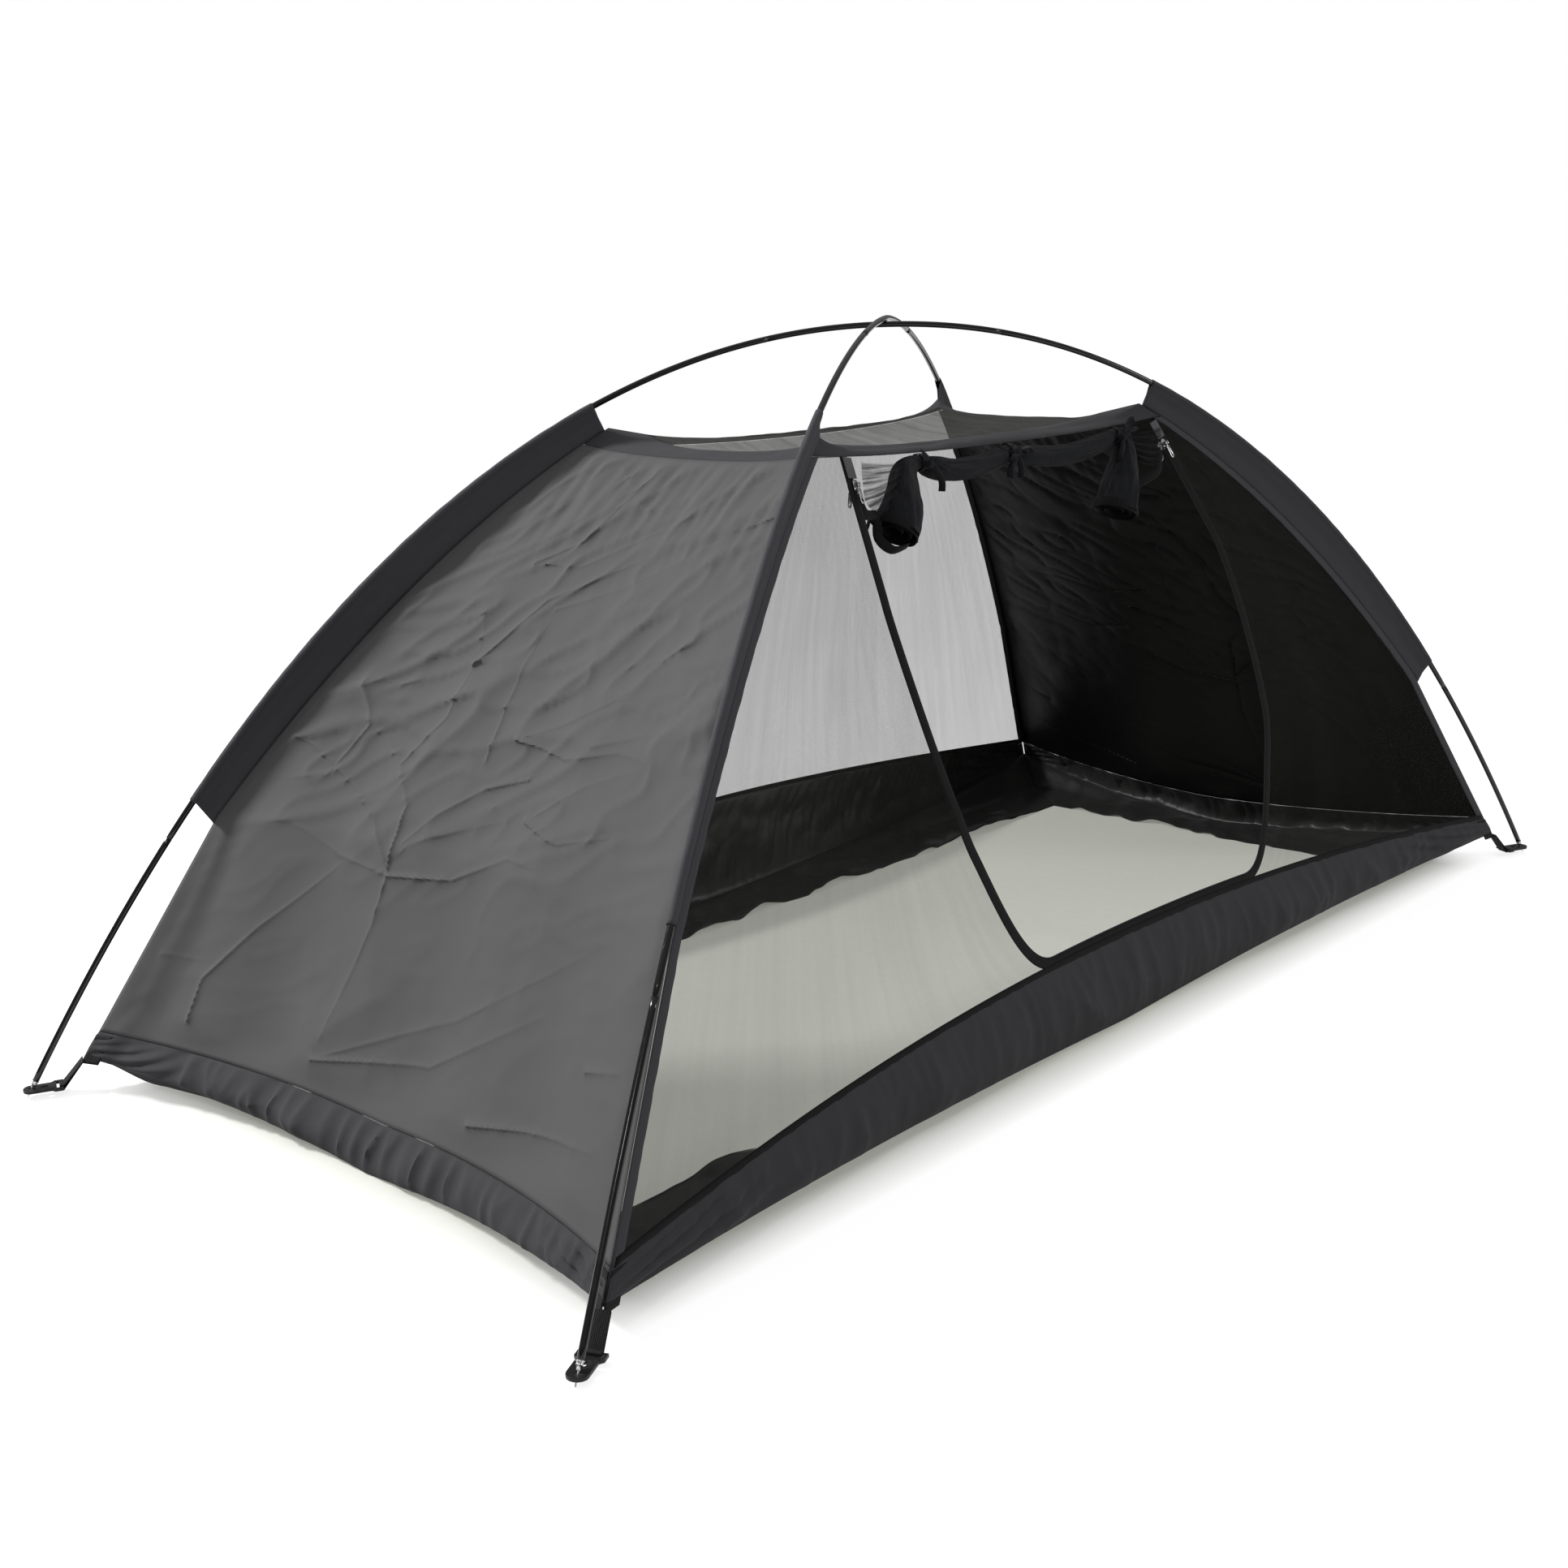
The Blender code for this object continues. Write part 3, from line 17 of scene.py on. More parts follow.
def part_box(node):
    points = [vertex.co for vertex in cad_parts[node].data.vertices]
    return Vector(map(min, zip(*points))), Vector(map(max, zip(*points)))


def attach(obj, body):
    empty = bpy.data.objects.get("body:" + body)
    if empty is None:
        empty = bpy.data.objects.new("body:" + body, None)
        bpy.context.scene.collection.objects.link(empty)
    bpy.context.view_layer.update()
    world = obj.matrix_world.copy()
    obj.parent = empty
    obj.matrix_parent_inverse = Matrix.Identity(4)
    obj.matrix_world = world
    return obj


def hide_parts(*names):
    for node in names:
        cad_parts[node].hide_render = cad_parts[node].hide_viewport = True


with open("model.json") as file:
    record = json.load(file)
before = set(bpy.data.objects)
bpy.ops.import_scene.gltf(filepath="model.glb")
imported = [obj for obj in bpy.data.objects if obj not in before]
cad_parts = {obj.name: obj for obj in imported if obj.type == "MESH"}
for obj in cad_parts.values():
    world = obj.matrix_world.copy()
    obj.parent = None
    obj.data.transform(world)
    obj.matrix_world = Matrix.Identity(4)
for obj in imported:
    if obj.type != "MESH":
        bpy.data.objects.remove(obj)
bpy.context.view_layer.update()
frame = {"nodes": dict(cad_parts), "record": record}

bl_info = {
    "name": "Insect Net Tent",
    "version": (1, 0, 0),
    "blender": (4, 5, 0),
    "location": "3D View > Sidebar > Net Tent",
    "description": "Builds the cloth, nets, poles and fittings of an insect net tent",
    "category": "Add Mesh",
}

# Poles, as the frame has them
foot_half_length = 1.1606
foot_half_width = 0.5456
crown_height = 0.9735
plan_length_power_share = 0.997
plan_width_power_share = 0.9087
lower_pole_fullness = 0.130
upper_pole_fullness = -0.071
tube_radius = 0.00425
seat_gap = 0.0003
tip_start_height = 0.0133
tip_taper_length = 0.0080
tip_flange_length = 0.0015
tip_flange_radius = 0.0047
tip_taper_end_radius = 0.0024
pin_radius = 0.00125
sections_per_pole = 9

# Hips of the tent body
corner_reach = 0.0770
corner_height = 0.0440
hip_top_height = 0.843
hip_knee_height = 0.4202 * hip_top_height
sleeve_reach_low = 0.0245
sleeve_reach_top = 0.0520
sleeve_low_height = hip_knee_height + 0.024
sleeve_top_height = crown_height - 0.100
side_draw_base = 0.087
side_draw_top = 0.036
end_draw_base = 0.106
end_draw_top = 0.030

# Base band, roof band and roof net
band_corner_height = 0.078
front_band_height = 0.118
back_band_height = 0.185
end_band_height = 0.0555
front_band_power = 2.06
back_band_power = 1.6
end_band_power = 1.2
band_corner_lift_power = 1.2
skirt_width_side = 0.211
skirt_width_end = 0.207
roof_corner_height = 0.822
roof_side_height = 0.806
roof_end_height = 0.808
roof_band_width = 0.040
roof_crest_rise = 0.0085
roof_inner_rise = 0.0095
roof_crest_share = 0.48
roof_corner_inset = 0.0022
roof_net_sag = 0.012
roof_edge_power = 2.4
crease_reach = 0.022
crease_edge = 0.0027
crease_height = 0.0076
crease_fade = 0.8
floor_gap = 0.0007
band_fold_share = 0.45
band_bulge_side = 0.012
band_bulge_end = 0.010
band_gather_depth = 0.0060
band_corner_fold_depth = 0.0040
skirt_waver = 0.014
sleeve_clearance = 0.0010
sleeve_arc = 130
tie_thickness = 0.0016
tail_width = 0.0095
loop_width = 0.0085
edge_tape_width = 0.013
edge_tape_thickness = 0.0014
coil_pitch = 0.0019
tape_half_thickness = 0.0007
end_relief_depth = 0.0032
seam_lift = 0.0004
net_seam_drop = 0.0006
merge_reach = 0.00001
crumple_seed = 1
floor_lift = 0.80
floor_share = 0.45

# Door zip, its sliders and the rolled door
door_centre_share = 0.0631
door_low_centre_share = 0.1060
door_top_share = 0.8506
door_waist_share = 0.6175
door_waist_height = 0.7929 * roof_side_height
door_knee_share = 0.4038
door_knee_height = 0.3837 * roof_side_height
door_foot_share = 0.2443
zip_tape_width = 0.0140
zip_bead_height = 0.0026
tie_shares = (-0.380, 0.100, 0.682)
tie_width = 0.0100
roll_neck_radius = 0.0100
roll_body_radius = 0.0165
roll_sag = 0.0100
roll_end_half_width = 0.0370
roll_end_half_depth = 0.0340
roll_end_out = 0.0250
roll_left_lean, roll_left_drop = -0.0733, 0.0820
roll_right_lean, roll_right_drop = -0.0360, 0.1090

# Main creases of the left end cloth: places (along, height) on the wall. They were picked by eye in the
# photograph, turned into metres on the wall by another program, and rounded to centimetres.
creases = (
    ((0.12, 0.32), (0.12, 0.26), (0.15, 0.10)),
    ((0.12, 0.32), (0.01, 0.33), (-0.08, 0.37), (-0.14, 0.37)),
    ((0.12, 0.33), (0.10, 0.36), (-0.03, 0.40), (-0.08, 0.41)),
    ((0.12, 0.33), (0.13, 0.40), (0.18, 0.44), (0.26, 0.48)),
    ((0.18, 0.44), (0.14, 0.50), (0.14, 0.56), (0.17, 0.62)),
    ((0.12, 0.32), (0.22, 0.33), (0.31, 0.36), (0.37, 0.36)),
    ((0.12, 0.33), (0.18, 0.38), (0.33, 0.45), (0.39, 0.47)),
    ((0.38, 0.54), (0.30, 0.53), (0.22, 0.53)),
    ((0.30, 0.53), (0.26, 0.48), (0.29, 0.42), (0.34, 0.41)),
    ((-0.05, 0.45), (0.02, 0.43), (-0.02, 0.41)),
    ((0.11, 0.36), (0.07, 0.40), (0.02, 0.43)),
    ((-0.08, 0.41), (-0.16, 0.40), (-0.24, 0.42)),
    ((-0.08, 0.41), (-0.16, 0.46), (-0.24, 0.49)),
    ((0.00, 0.49), (-0.06, 0.51), (-0.14, 0.55), (-0.30, 0.58)),
    ((0.00, 0.49), (-0.10, 0.48), (-0.19, 0.50), (-0.25, 0.50)),
    ((-0.11, 0.59), (-0.14, 0.58), (-0.27, 0.64)),
    ((0.14, 0.68), (0.08, 0.71), (0.04, 0.80)),
    ((0.12, 0.68), (0.06, 0.68), (-0.19, 0.80)),
    ((0.06, 0.63), (-0.03, 0.66), (-0.24, 0.76)),
    ((0.14, 0.56), (0.08, 0.64), (-0.05, 0.70)),
    ((0.15, 0.10), (-0.08, 0.19), (-0.30, 0.32)),
    ((0.15, 0.10), (-0.05, 0.13), (-0.23, 0.23)),
    ((0.37, 0.11), (0.37, 0.16), (0.31, 0.23), (0.21, 0.32)),
    ((0.45, 0.18), (0.36, 0.18)),
    ((-0.16, 0.10), (-0.41, 0.15)),
    ((0.04, 0.46), (0.05, 0.52), (0.06, 0.62)),
    ((-0.14, 0.50), (-0.25, 0.53)),
    ((0.25, 0.78), (0.28, 0.69)),
    ((0.14, 0.81), (0.04, 0.76), (-0.01, 0.74)),
    ((-0.35, 0.21), (-0.42, 0.23)),
)

# Stage: the grey-green shade painted on the floor under the tent, the lamps and the view of the photograph
shade_patch_half_length = 1.00
shade_patch_half_width = 0.44
shade_patch_fade_along = 0.10
shade_patch_fade_across = 0.08
# Painted shade under the tent: its colour, and the smaller lift of the floor there
painted_shade_color = (0.600, 0.610, 0.560)
painted_shade_lift = (0.22, 0.225, 0.20)
world_low_strength, world_high_strength = 0.12, 0.60
lamps = (
    # name, place, target, size, power in watts
    ("key_light", (-2.1, 2.6, 2.7), (-0.8, 0.0, 0.4), 0.7, 145),
    ("strip_light", (-3.2, -1.6, 2.8), (-0.9, 0.0, 0.4), 0.5, 12),
    ("front_light", (2.6, -4.4, 2.6), (0.3, -0.2, 0.3), 1.2, 44),
)
lamp_height_share = 0.6
view_place = (-2.237, -1.819, 1.0224)
view_yaw, view_pitch, view_roll = 47.62, 14.37, -1.29
view_lens, view_sensor = 44.09, 36.0

corner_signs = {
    "front_left": (-1, -1),
    "front_right": (1, -1),
    "back_left": (-1, 1),
    "back_right": (1, 1),
}


class TentSizes(bpy.types.PropertyGroup):
    """Sizes of the cloth's finish that a user may change"""

    cloth: FloatProperty(
        name="Cloth", description="Thickness of the coated cloth", default=0.0006, unit="LENGTH", precision=5)
    hem: FloatProperty(
        name="Seam tape", description="Width of the tape sewn over the band seams", default=0.0101,
        unit="LENGTH")
    hip_tape: FloatProperty(
        name="Hip tape", description="Width of the cloth strip beside each net at a hip", default=0.018,
        unit="LENGTH")
    crease: FloatProperty(
        name="Crumple depth", description="Depth of the soft crumples in the end cloth",
        default=end_relief_depth,
        unit="LENGTH", precision=5)
    mesh_pitch: FloatProperty(
        name="Net pitch", description="Spacing of the holes in the net", default=0.0017, unit="LENGTH",
        precision=5)
    floor: FloatProperty(
        name="Floor", description="Half the length of the stage floor", default=60.0, unit="LENGTH")


class TentColours(bpy.types.PropertyGroup):
    """Colours and cover of the finishes"""

    end_cloth: FloatVectorProperty(
        name="End cloth", description="Colour of the two closed ends", default=(0.092, 0.092, 0.093),
        subtype="COLOR")
    band_cloth: FloatVectorProperty(
        name="Band cloth", description="Colour of the base and roof bands", default=(0.026, 0.026, 0.0265),
        subtype="COLOR")
    sleeve_cloth: FloatVectorProperty(
        name="Sleeve cloth", description="Colour of the pole sleeves", default=(0.025, 0.025, 0.025),
        subtype="COLOR")
    net: FloatVectorProperty(
        name="Net", description="Colour of the net's thread", default=(0.045, 0.045, 0.040), subtype="COLOR")
    tape: FloatVectorProperty(
        name="Tape", description="Colour of the zip tape and seam tape", default=(0.0030, 0.0030, 0.0032),
        subtype="COLOR")
    pole: FloatVectorProperty(
        name="Pole", description="Colour of the poles under their gloss", default=(0.0030, 0.0030, 0.0030),
        subtype="COLOR")
    side_cover: FloatProperty(
        name="Side net cover", description="Share of the back net that is thread", default=0.60,
        subtype="FACTOR")
    front_cover: FloatProperty(
        name="Front net cover", description="Share of the front nets that is thread", default=0.18,
        subtype="FACTOR")
    roof_cover: FloatProperty(
        name="Roof net cover", description="Share of the roof net that is thread", default=0.72,
        subtype="FACTOR")
    floor: FloatVectorProperty(
        name="Floor", description="Colour of the stage floor", default=(0.35, 0.35, 0.35), subtype="COLOR")


# Outline of the tent


def blend(start, end, share):
    return start + (end - start) * share


def plan_way():
    return Vector((foot_half_length, foot_half_width)).normalized()


def pole_curve(signs, crown, fullness, share):
    """Point of a bent pole; share runs from 1 at its first foot to -1 at its second."""
    size = abs(share)
    side = math.copysign(1, share)
    along = foot_half_length * size ** plan_length_power_share
    across = foot_half_width * size ** plan_width_power_share
    height = crown * (1 - size * size) * (1 + fullness * size * size)
    return Vector((signs[0] * side * along, signs[1] * side * across, height))


class Pole:
    """Centre line of a pole, measured along its length from its first foot."""

    def __init__(self, signs, crown, fullness):
        self.points = [pole_curve(signs, crown, fullness, 1 - index / 300) for index in range(601)]
        self.lengths = [0.0]
        for before, after in zip(self.points, self.points[1:]):
            self.lengths.append(self.lengths[-1] + (after - before).length)
        self.total = self.lengths[-1]
        self.rise = self.run(0.0).z
        tip_lean = tip_taper_end_radius * math.sqrt(1 - self.rise ** 2)
        self.tube_start = (tip_start_height + tip_lean) / self.rise
        self.tube_start += tip_taper_length + tip_flange_length + seat_gap
        self.section = (self.total - 2 * self.tube_start) / sections_per_pole

    def span(self, mark):
        low, high = 0, len(self.lengths) - 2
        while low < high:
            middle = (low + high + 1) // 2
            if self.lengths[middle] <= mark:
                low = middle
            else:
                high = middle - 1
        return low

    def centre(self, mark):
        index = self.span(mark)
        share = (mark - self.lengths[index]) / (self.lengths[index + 1] - self.lengths[index])
        return self.points[index].lerp(self.points[index + 1], share)

    def run(self, mark):
        index = self.span(mark)
        return (self.points[index + 1] - self.points[index]).normalized()

    def frame(self, mark):
        """Matrix with Z along the pole and X up and away from the tent."""
        way = self.run(mark)
        side = way.cross(Vector((0, 0, 1))).normalized()
        out = side.cross(way)
        matrix = Matrix((out, side, way)).transposed().to_4x4()
        matrix.translation = self.centre(mark)
        return matrix

    def mark_at_height(self, height, first_half=True):
        low, high = (0.0, self.total / 2) if first_half else (self.total, self.total / 2)
        for _ in range(40):
            middle = (low + high) / 2
            if self.centre(middle).z < height:
                low = middle
            else:
                high = middle
        return (low + high) / 2


lower_pole = Pole((-1, 1), crown_height, lower_pole_fullness)
upper_pole = Pole((-1, -1), crown_height + 2 * tube_radius + seat_gap, upper_pole_fullness)
poles = {
    "lower": (lower_pole, ("back_left", "front_right")),
    "upper": (upper_pole, ("front_left", "back_right")),
}


def hip(height):
    """Corner of the tent body at a height, in the quarter where X and Y are positive."""
    way = plan_way()
    if height >= hip_knee_height:
        share = math.sqrt(max(0.0, 1 - height / crown_height))
        rise = (height - hip_knee_height) / (hip_top_height - hip_knee_height)
        reach = blend(sleeve_reach_low, sleeve_reach_top, rise)
        along = foot_half_length * share ** plan_length_power_share
        across = foot_half_width * share ** plan_width_power_share
        return Vector((along, across)) - way * reach
    foot = Vector((foot_half_length, foot_half_width)) - way * corner_reach
    return blend(foot, hip(hip_knee_height), (height - corner_height) / (hip_knee_height - corner_height))


def rise_share(height):
    return (height - corner_height) / (hip_top_height - corner_height)


def is_side(wall):
    return wall in ("front", "back")


def wall_point(wall, along, height, out=0.0):
    """Point of a wall at a place along it and a height, moved outwards by out."""
    corner = hip(height)
    if is_side(wall):
        draw = blend(side_draw_base, side_draw_top, rise_share(height))
        depth = corner.y - draw * (1 - (along / corner.x) ** 2) + out
        return Vector((along, depth if wall == "back" else -depth, height))
    draw = blend(end_draw_base, end_draw_top, rise_share(height))
    depth = corner.x - draw * (1 - (along / corner.y) ** 2) + out
    return Vector((depth if wall == "right" else -depth, along, height))


def half_span(wall, height):
    corner = hip(height)
    return (corner.x if is_side(wall) else corner.y) - 0.0002


def band_top(wall, share):
    """Height of the seam between a wall and its base band."""
    sizes = {"front": (front_band_height, front_band_power), "back": (back_band_height, back_band_power)}
    high, power = sizes.get(wall, (end_band_height, end_band_power))
    return blend(high, band_corner_height, abs(share) ** power)


def roof_seam(wall, share):
    """Height of the seam between a wall and the roof edge band."""
    high = roof_side_height if is_side(wall) else roof_end_height
    return blend(high, roof_corner_height, abs(share) ** roof_edge_power)


def share_at(wall, along, seam):
    share = 0.0
    for _ in range(12):
        share = along / half_span(wall, seam(wall, share))
    return share


def hip_point(height, signs):
    corner = hip(height)
    return Vector((signs[0] * corner.x, signs[1] * corner.y, height))


# Materials


class Value:
    """A shader socket that takes part in sums as a number does."""

    def __init__(self, paint, socket):
        self.paint, self.socket = paint, socket

    def join(self, operation, first, second):
        return self.paint.node("ShaderNodeMath", {"operation": operation}, {0: first, 1: second})

    def __add__(self, other):
        return self.join("ADD", self, other)

    def __sub__(self, other):
        return self.join("SUBTRACT", self, other)

    def __rsub__(self, other):
        return self.join("SUBTRACT", other, self)

    def __mul__(self, other):
        return self.join("MULTIPLY", self, other)

    def __truediv__(self, other):
        return self.join("DIVIDE", self, other)

    def __pow__(self, other):
        return self.join("POWER", self, other)

    def size(self):
        return self.join("ABSOLUTE", self, 0.0)

    def least(self, other):
        return self.join("MINIMUM", self, other)

    def most(self, other):
        return self.join("MAXIMUM", self, other)

    __radd__ = __add__
    __rmul__ = __mul__


class Paint:
    """A material under construction."""

    def __init__(self, name):
        self.material = bpy.data.materials.new(name)
        self.material.use_nodes = True
        self.tree = self.material.node_tree
        self.shader = self.tree.nodes["Principled BSDF"]
        self.output = self.tree.nodes["Material Output"]

    def node(self, kind, settings=None, inputs=None, output=0):
        """New node; its settings come first, then numbers, colours or links for its sockets."""
        made = self.tree.nodes.new(kind)
        for key, value in (settings or {}).items():
            if key == "stops":
                for index, (place, shade) in enumerate(value):
                    stops = made.color_ramp.elements
                    stop = stops[index] if index < 2 else stops.new(place)
                    stop.position, stop.color = place, shade
            else:
                setattr(made, key, value)
        for key, value in (inputs or {}).items():
            self.feed(made.inputs[key], value)
        return Value(self, made.outputs[output])

    def feed(self, socket, value):
        if isinstance(value, Value):
            self.tree.links.new(value.socket, socket)
        elif hasattr(value, "__len__") and len(value) == 3 and socket.type == "RGBA":
            socket.default_value = (*value, 1.0)
        else:
            socket.default_value = value

    def set(self, **inputs):
        """Feed the main shader; underscores stand for spaces."""
        for key, value in inputs.items():
            self.feed(self.shader.inputs[key.replace("_", " ")], value)

    def place(self, stretch=(1, 1, 1), source="Object"):
        """Coordinates on the object, or on its cloth in metres, stretched along each axis."""
        if source == "UV":
            start = self.node("ShaderNodeUVMap", {"uv_map": "cloth"})
        else:
            start = self.node("ShaderNodeTexCoord", output=source)
        return self.node("ShaderNodeMapping", None, {"Vector": start, "Scale": stretch})

    def grain(self, where, scale, detail=2.0, roughness=0.5, distortion=0.0):
        settings = {"Vector": where, "Scale": scale, "Detail": detail, "Roughness": roughness}
        settings["Distortion"] = distortion
        return self.node("ShaderNodeTexNoise", None, settings)

    def wave(self, where, pitch, direction):
        """Even waves from 0 to 1, one for each pitch in metres."""
        settings = {"wave_type": "BANDS", "bands_direction": direction, "wave_profile": "SIN"}
        return self.node("ShaderNodeTexWave", settings, {"Vector": where, "Scale": math.pi / 10 / pitch})

    def crumples(self, where, scale):
        """Ridges between bent cells, as in cloth that was folded small."""
        warp = self.grain(where, scale * 0.6, 3.0)
        bend = {0: warp, 1: (0.06, 0.06, 0.06), 2: where}
        bent = self.node("ShaderNodeVectorMath", {"operation": "MULTIPLY_ADD"}, bend)
        cells = {"feature": "DISTANCE_TO_EDGE"}
        edge = self.node("ShaderNodeTexVoronoi", cells, {"Vector": bent, "Scale": scale})
        return self.limits(edge, 0.0, 0.22, 1.0, 0.0)

    def shade(self, color, low, high, factor):
        """A colour scaled from low to high by a factor."""
        dark = tuple(channel * low for channel in color)
        light = tuple(channel * high for channel in color)
        return self.mix(factor, (*dark, 1), (*light, 1))

    def mix(self, factor, first, second):
        settings = {"data_type": "RGBA", "clamp_factor": True}
        return self.node("ShaderNodeMix", settings, {0: factor, 6: first, 7: second}, output=2)

    def limits(self, value, low, high, to_low=0.0, to_high=1.0):
        settings = {"From Min": low, "From Max": high, "To Min": to_low, "To Max": to_high}
        return self.node("ShaderNodeMapRange", {"clamp": True}, {"Value": value, **settings})

    def bump(self, height, strength, distance, normal=None):
        inputs = {"Height": height, "Strength": strength, "Distance": distance}
        if normal:
            inputs["Normal"] = normal
        return self.node("ShaderNodeBump", None, inputs)


def coated_cloth(name, color, roughness, sheen, gloss, crumples):
    """Thin woven cloth with a coating: fine weave, faint rolled streaks and small creases."""
    paint = Paint(name)
    where = paint.place()
    cloth = paint.place(source="UV")
    weave_across = paint.wave(cloth, 0.0007, "X")
    weave_up = paint.wave(cloth, 0.0007, "Y")
    weave = weave_across * weave_up
    streak = paint.grain(paint.place((26, 1.6, 1), "UV"), 1.0, 3.0)
    patch = paint.grain(where, 5.0, 3.0)
    fleck = paint.grain(where, 420.0, 2.0)
    level = streak * 0.20 + patch * 0.35 + fleck * 0.30 + weave * 0.15
    tone = paint.shade(color, 0.72, 1.30, level)
    creases = paint.grain(where, 34.0, 4.0, 0.55, 0.8)
    normal = paint.bump(creases, 0.16, 0.004)
    if crumples:
        normal = paint.bump(paint.crumples(where, crumples), 0.5, 0.004, normal)
    normal = paint.bump(weave + fleck, 0.12, 0.0003, normal)
    paint.set(Base_Color=tone, Roughness=paint.limits(patch, 0.3, 0.7, roughness - 0.05, roughness + 0.06),
              Normal=normal)
    paint.set(Sheen_Weight=sheen, Sheen_Roughness=0.45, Specular_IOR_Level=gloss)
    return paint.material


def net_cloth(name, color, cover, pitch, folds=0.0):
    """Fine net: the thread covers a share of the sheet, in staggered rows of small holes."""
    paint = Paint(name)
    cloth = paint.place(source="UV")
    across = paint.wave(cloth, pitch, "X")
    up = paint.wave(cloth, pitch, "Y")
    holes = across * up
    gather = paint.grain(paint.place((42, 2.0, 1), "UV"), 1.0, 3.0, 0.6)
    patch = paint.grain(paint.place(), 6.0, 2.0)
    thread = (1.0 - holes * 1.2) * (cover * 0.75)
    alpha = thread + cover * 0.42 + (gather - 0.5) * folds + (patch - 0.5) * 0.06
    fibre = paint.grain(paint.place(), 900.0, 2.0)
    paint.set(Base_Color=paint.shade(color, 0.6, 1.5, fibre), Roughness=0.75)
    paint.set(Alpha=alpha.most(0.0).least(1.0))
    paint.set(Sheen_Weight=0.05, Specular_IOR_Level=0.15, Normal=paint.bump(fibre, 0.1, 0.0004))
    return paint.material


def gloss_tube(name, color):
    """Black lacquered tube with fine scratches along it."""
    paint = Paint(name)
    where = paint.place()
    scratch = paint.grain(where, 700.0, 3.0, 0.7)
    dust = paint.limits(paint.grain(where, 60.0, 4.0), 0.52, 0.75)
    paint.set(Base_Color=paint.shade(color, 0.8, 2.2, dust), Metallic=0.0)
    paint.set(Roughness=paint.limits(scratch + dust, 0.6, 1.6, 0.16, 0.34))
    paint.set(Coat_Weight=0.2, Coat_Roughness=0.08, Specular_IOR_Level=0.30)
    paint.set(Normal=paint.bump(scratch, 0.05, 0.0002))
    return paint.material


def bright_metal(name, color):
    """Plated metal, a little dull on its broad faces."""
    paint = Paint(name)
    where = paint.place()
    grain = paint.grain(where, 900.0, 3.0, 0.7)
    stain = paint.grain(where, 140.0, 3.0)
    paint.set(Base_Color=paint.shade(color, 0.7, 1.1, stain), Metallic=1.0)
    paint.set(Roughness=paint.limits(stain, 0.3, 0.7, 0.16, 0.38), Normal=paint.bump(grain, 0.08, 0.0002))
    return paint.material


def moulded_plastic(name, color):
    """Moulded black plastic with a fine grain and paler rubbed spots."""
    paint = Paint(name)
    where = paint.place()
    grain = paint.grain(where, 1100.0, 2.0)
    rub = paint.limits(paint.grain(where, 90.0, 4.0), 0.5, 0.8)
    paint.set(Base_Color=paint.shade(color, 0.8, 3.0, rub), Roughness=paint.limits(rub, 0, 1, 0.34, 0.52))
    paint.set(Normal=paint.bump(grain, 0.15, 0.0003), Specular_IOR_Level=0.25)
    return paint.material


def webbing_weave(name, color):
    """Woven webbing: rows of short raised stitches, staggered, with paler gaps."""
    paint = Paint(name)
    cloth = paint.place(source="UV")
    rows = paint.wave(cloth, 0.0020, "Y")
    ribs = paint.wave(cloth, 0.0022, "X")
    dots = rows * ribs
    fuzz = paint.grain(paint.place(), 1500.0, 2.0)
    level = paint.limits(dots, 0.15, 0.75)
    paint.set(Base_Color=paint.shade(color, 0.6, 4.2, level), Roughness=0.75, Sheen_Weight=0.06)
    paint.set(Normal=paint.bump(dots + fuzz * 0.3, 0.7, 0.0008), Specular_IOR_Level=0.12)
    return paint.material


def ribbed_tape(name, color, rows=0.0011):
    """Woven tape with ribs across it."""
    paint = Paint(name)
    cloth = paint.place(source="UV")
    ribs = paint.wave(cloth, rows, "Y")
    fuzz = paint.grain(paint.place(), 1300.0, 2.0)
    level = ribs * 0.6 + fuzz * 0.4
    paint.set(Base_Color=paint.shade(color, 0.6, 2.4, level), Roughness=0.7, Sheen_Weight=0.05)
    paint.set(Normal=paint.bump(level, 0.4, 0.0005), Specular_IOR_Level=0.12)
    return paint.material


def rolled_net(name, color, cover=1.0):
    """Many layers of fine net: thread lines along the folds over a dark ground."""
    paint = Paint(name)
    cloth = paint.place((1, 1, 1), "UV")
    folds = paint.grain(paint.place((8, 170, 1), "UV"), 1.0, 4.0, 0.6)
    mesh_across = paint.wave(cloth, 0.0014, "X")
    mesh_up = paint.wave(cloth, 0.0014, "Y")
    level = folds * 0.6 + mesh_across * mesh_up * 0.4
    paint.set(Base_Color=paint.shade(color, 0.35, 1.9, level), Roughness=0.8, Sheen_Weight=0.08)
    paint.set(Normal=paint.bump(level, 0.5, 0.0012), Specular_IOR_Level=0.15)
    if cover < 1.0:
        paint.set(Alpha=paint.limits(folds, 0.38, 0.60, cover - 0.35, cover + 0.45))
    return paint.material


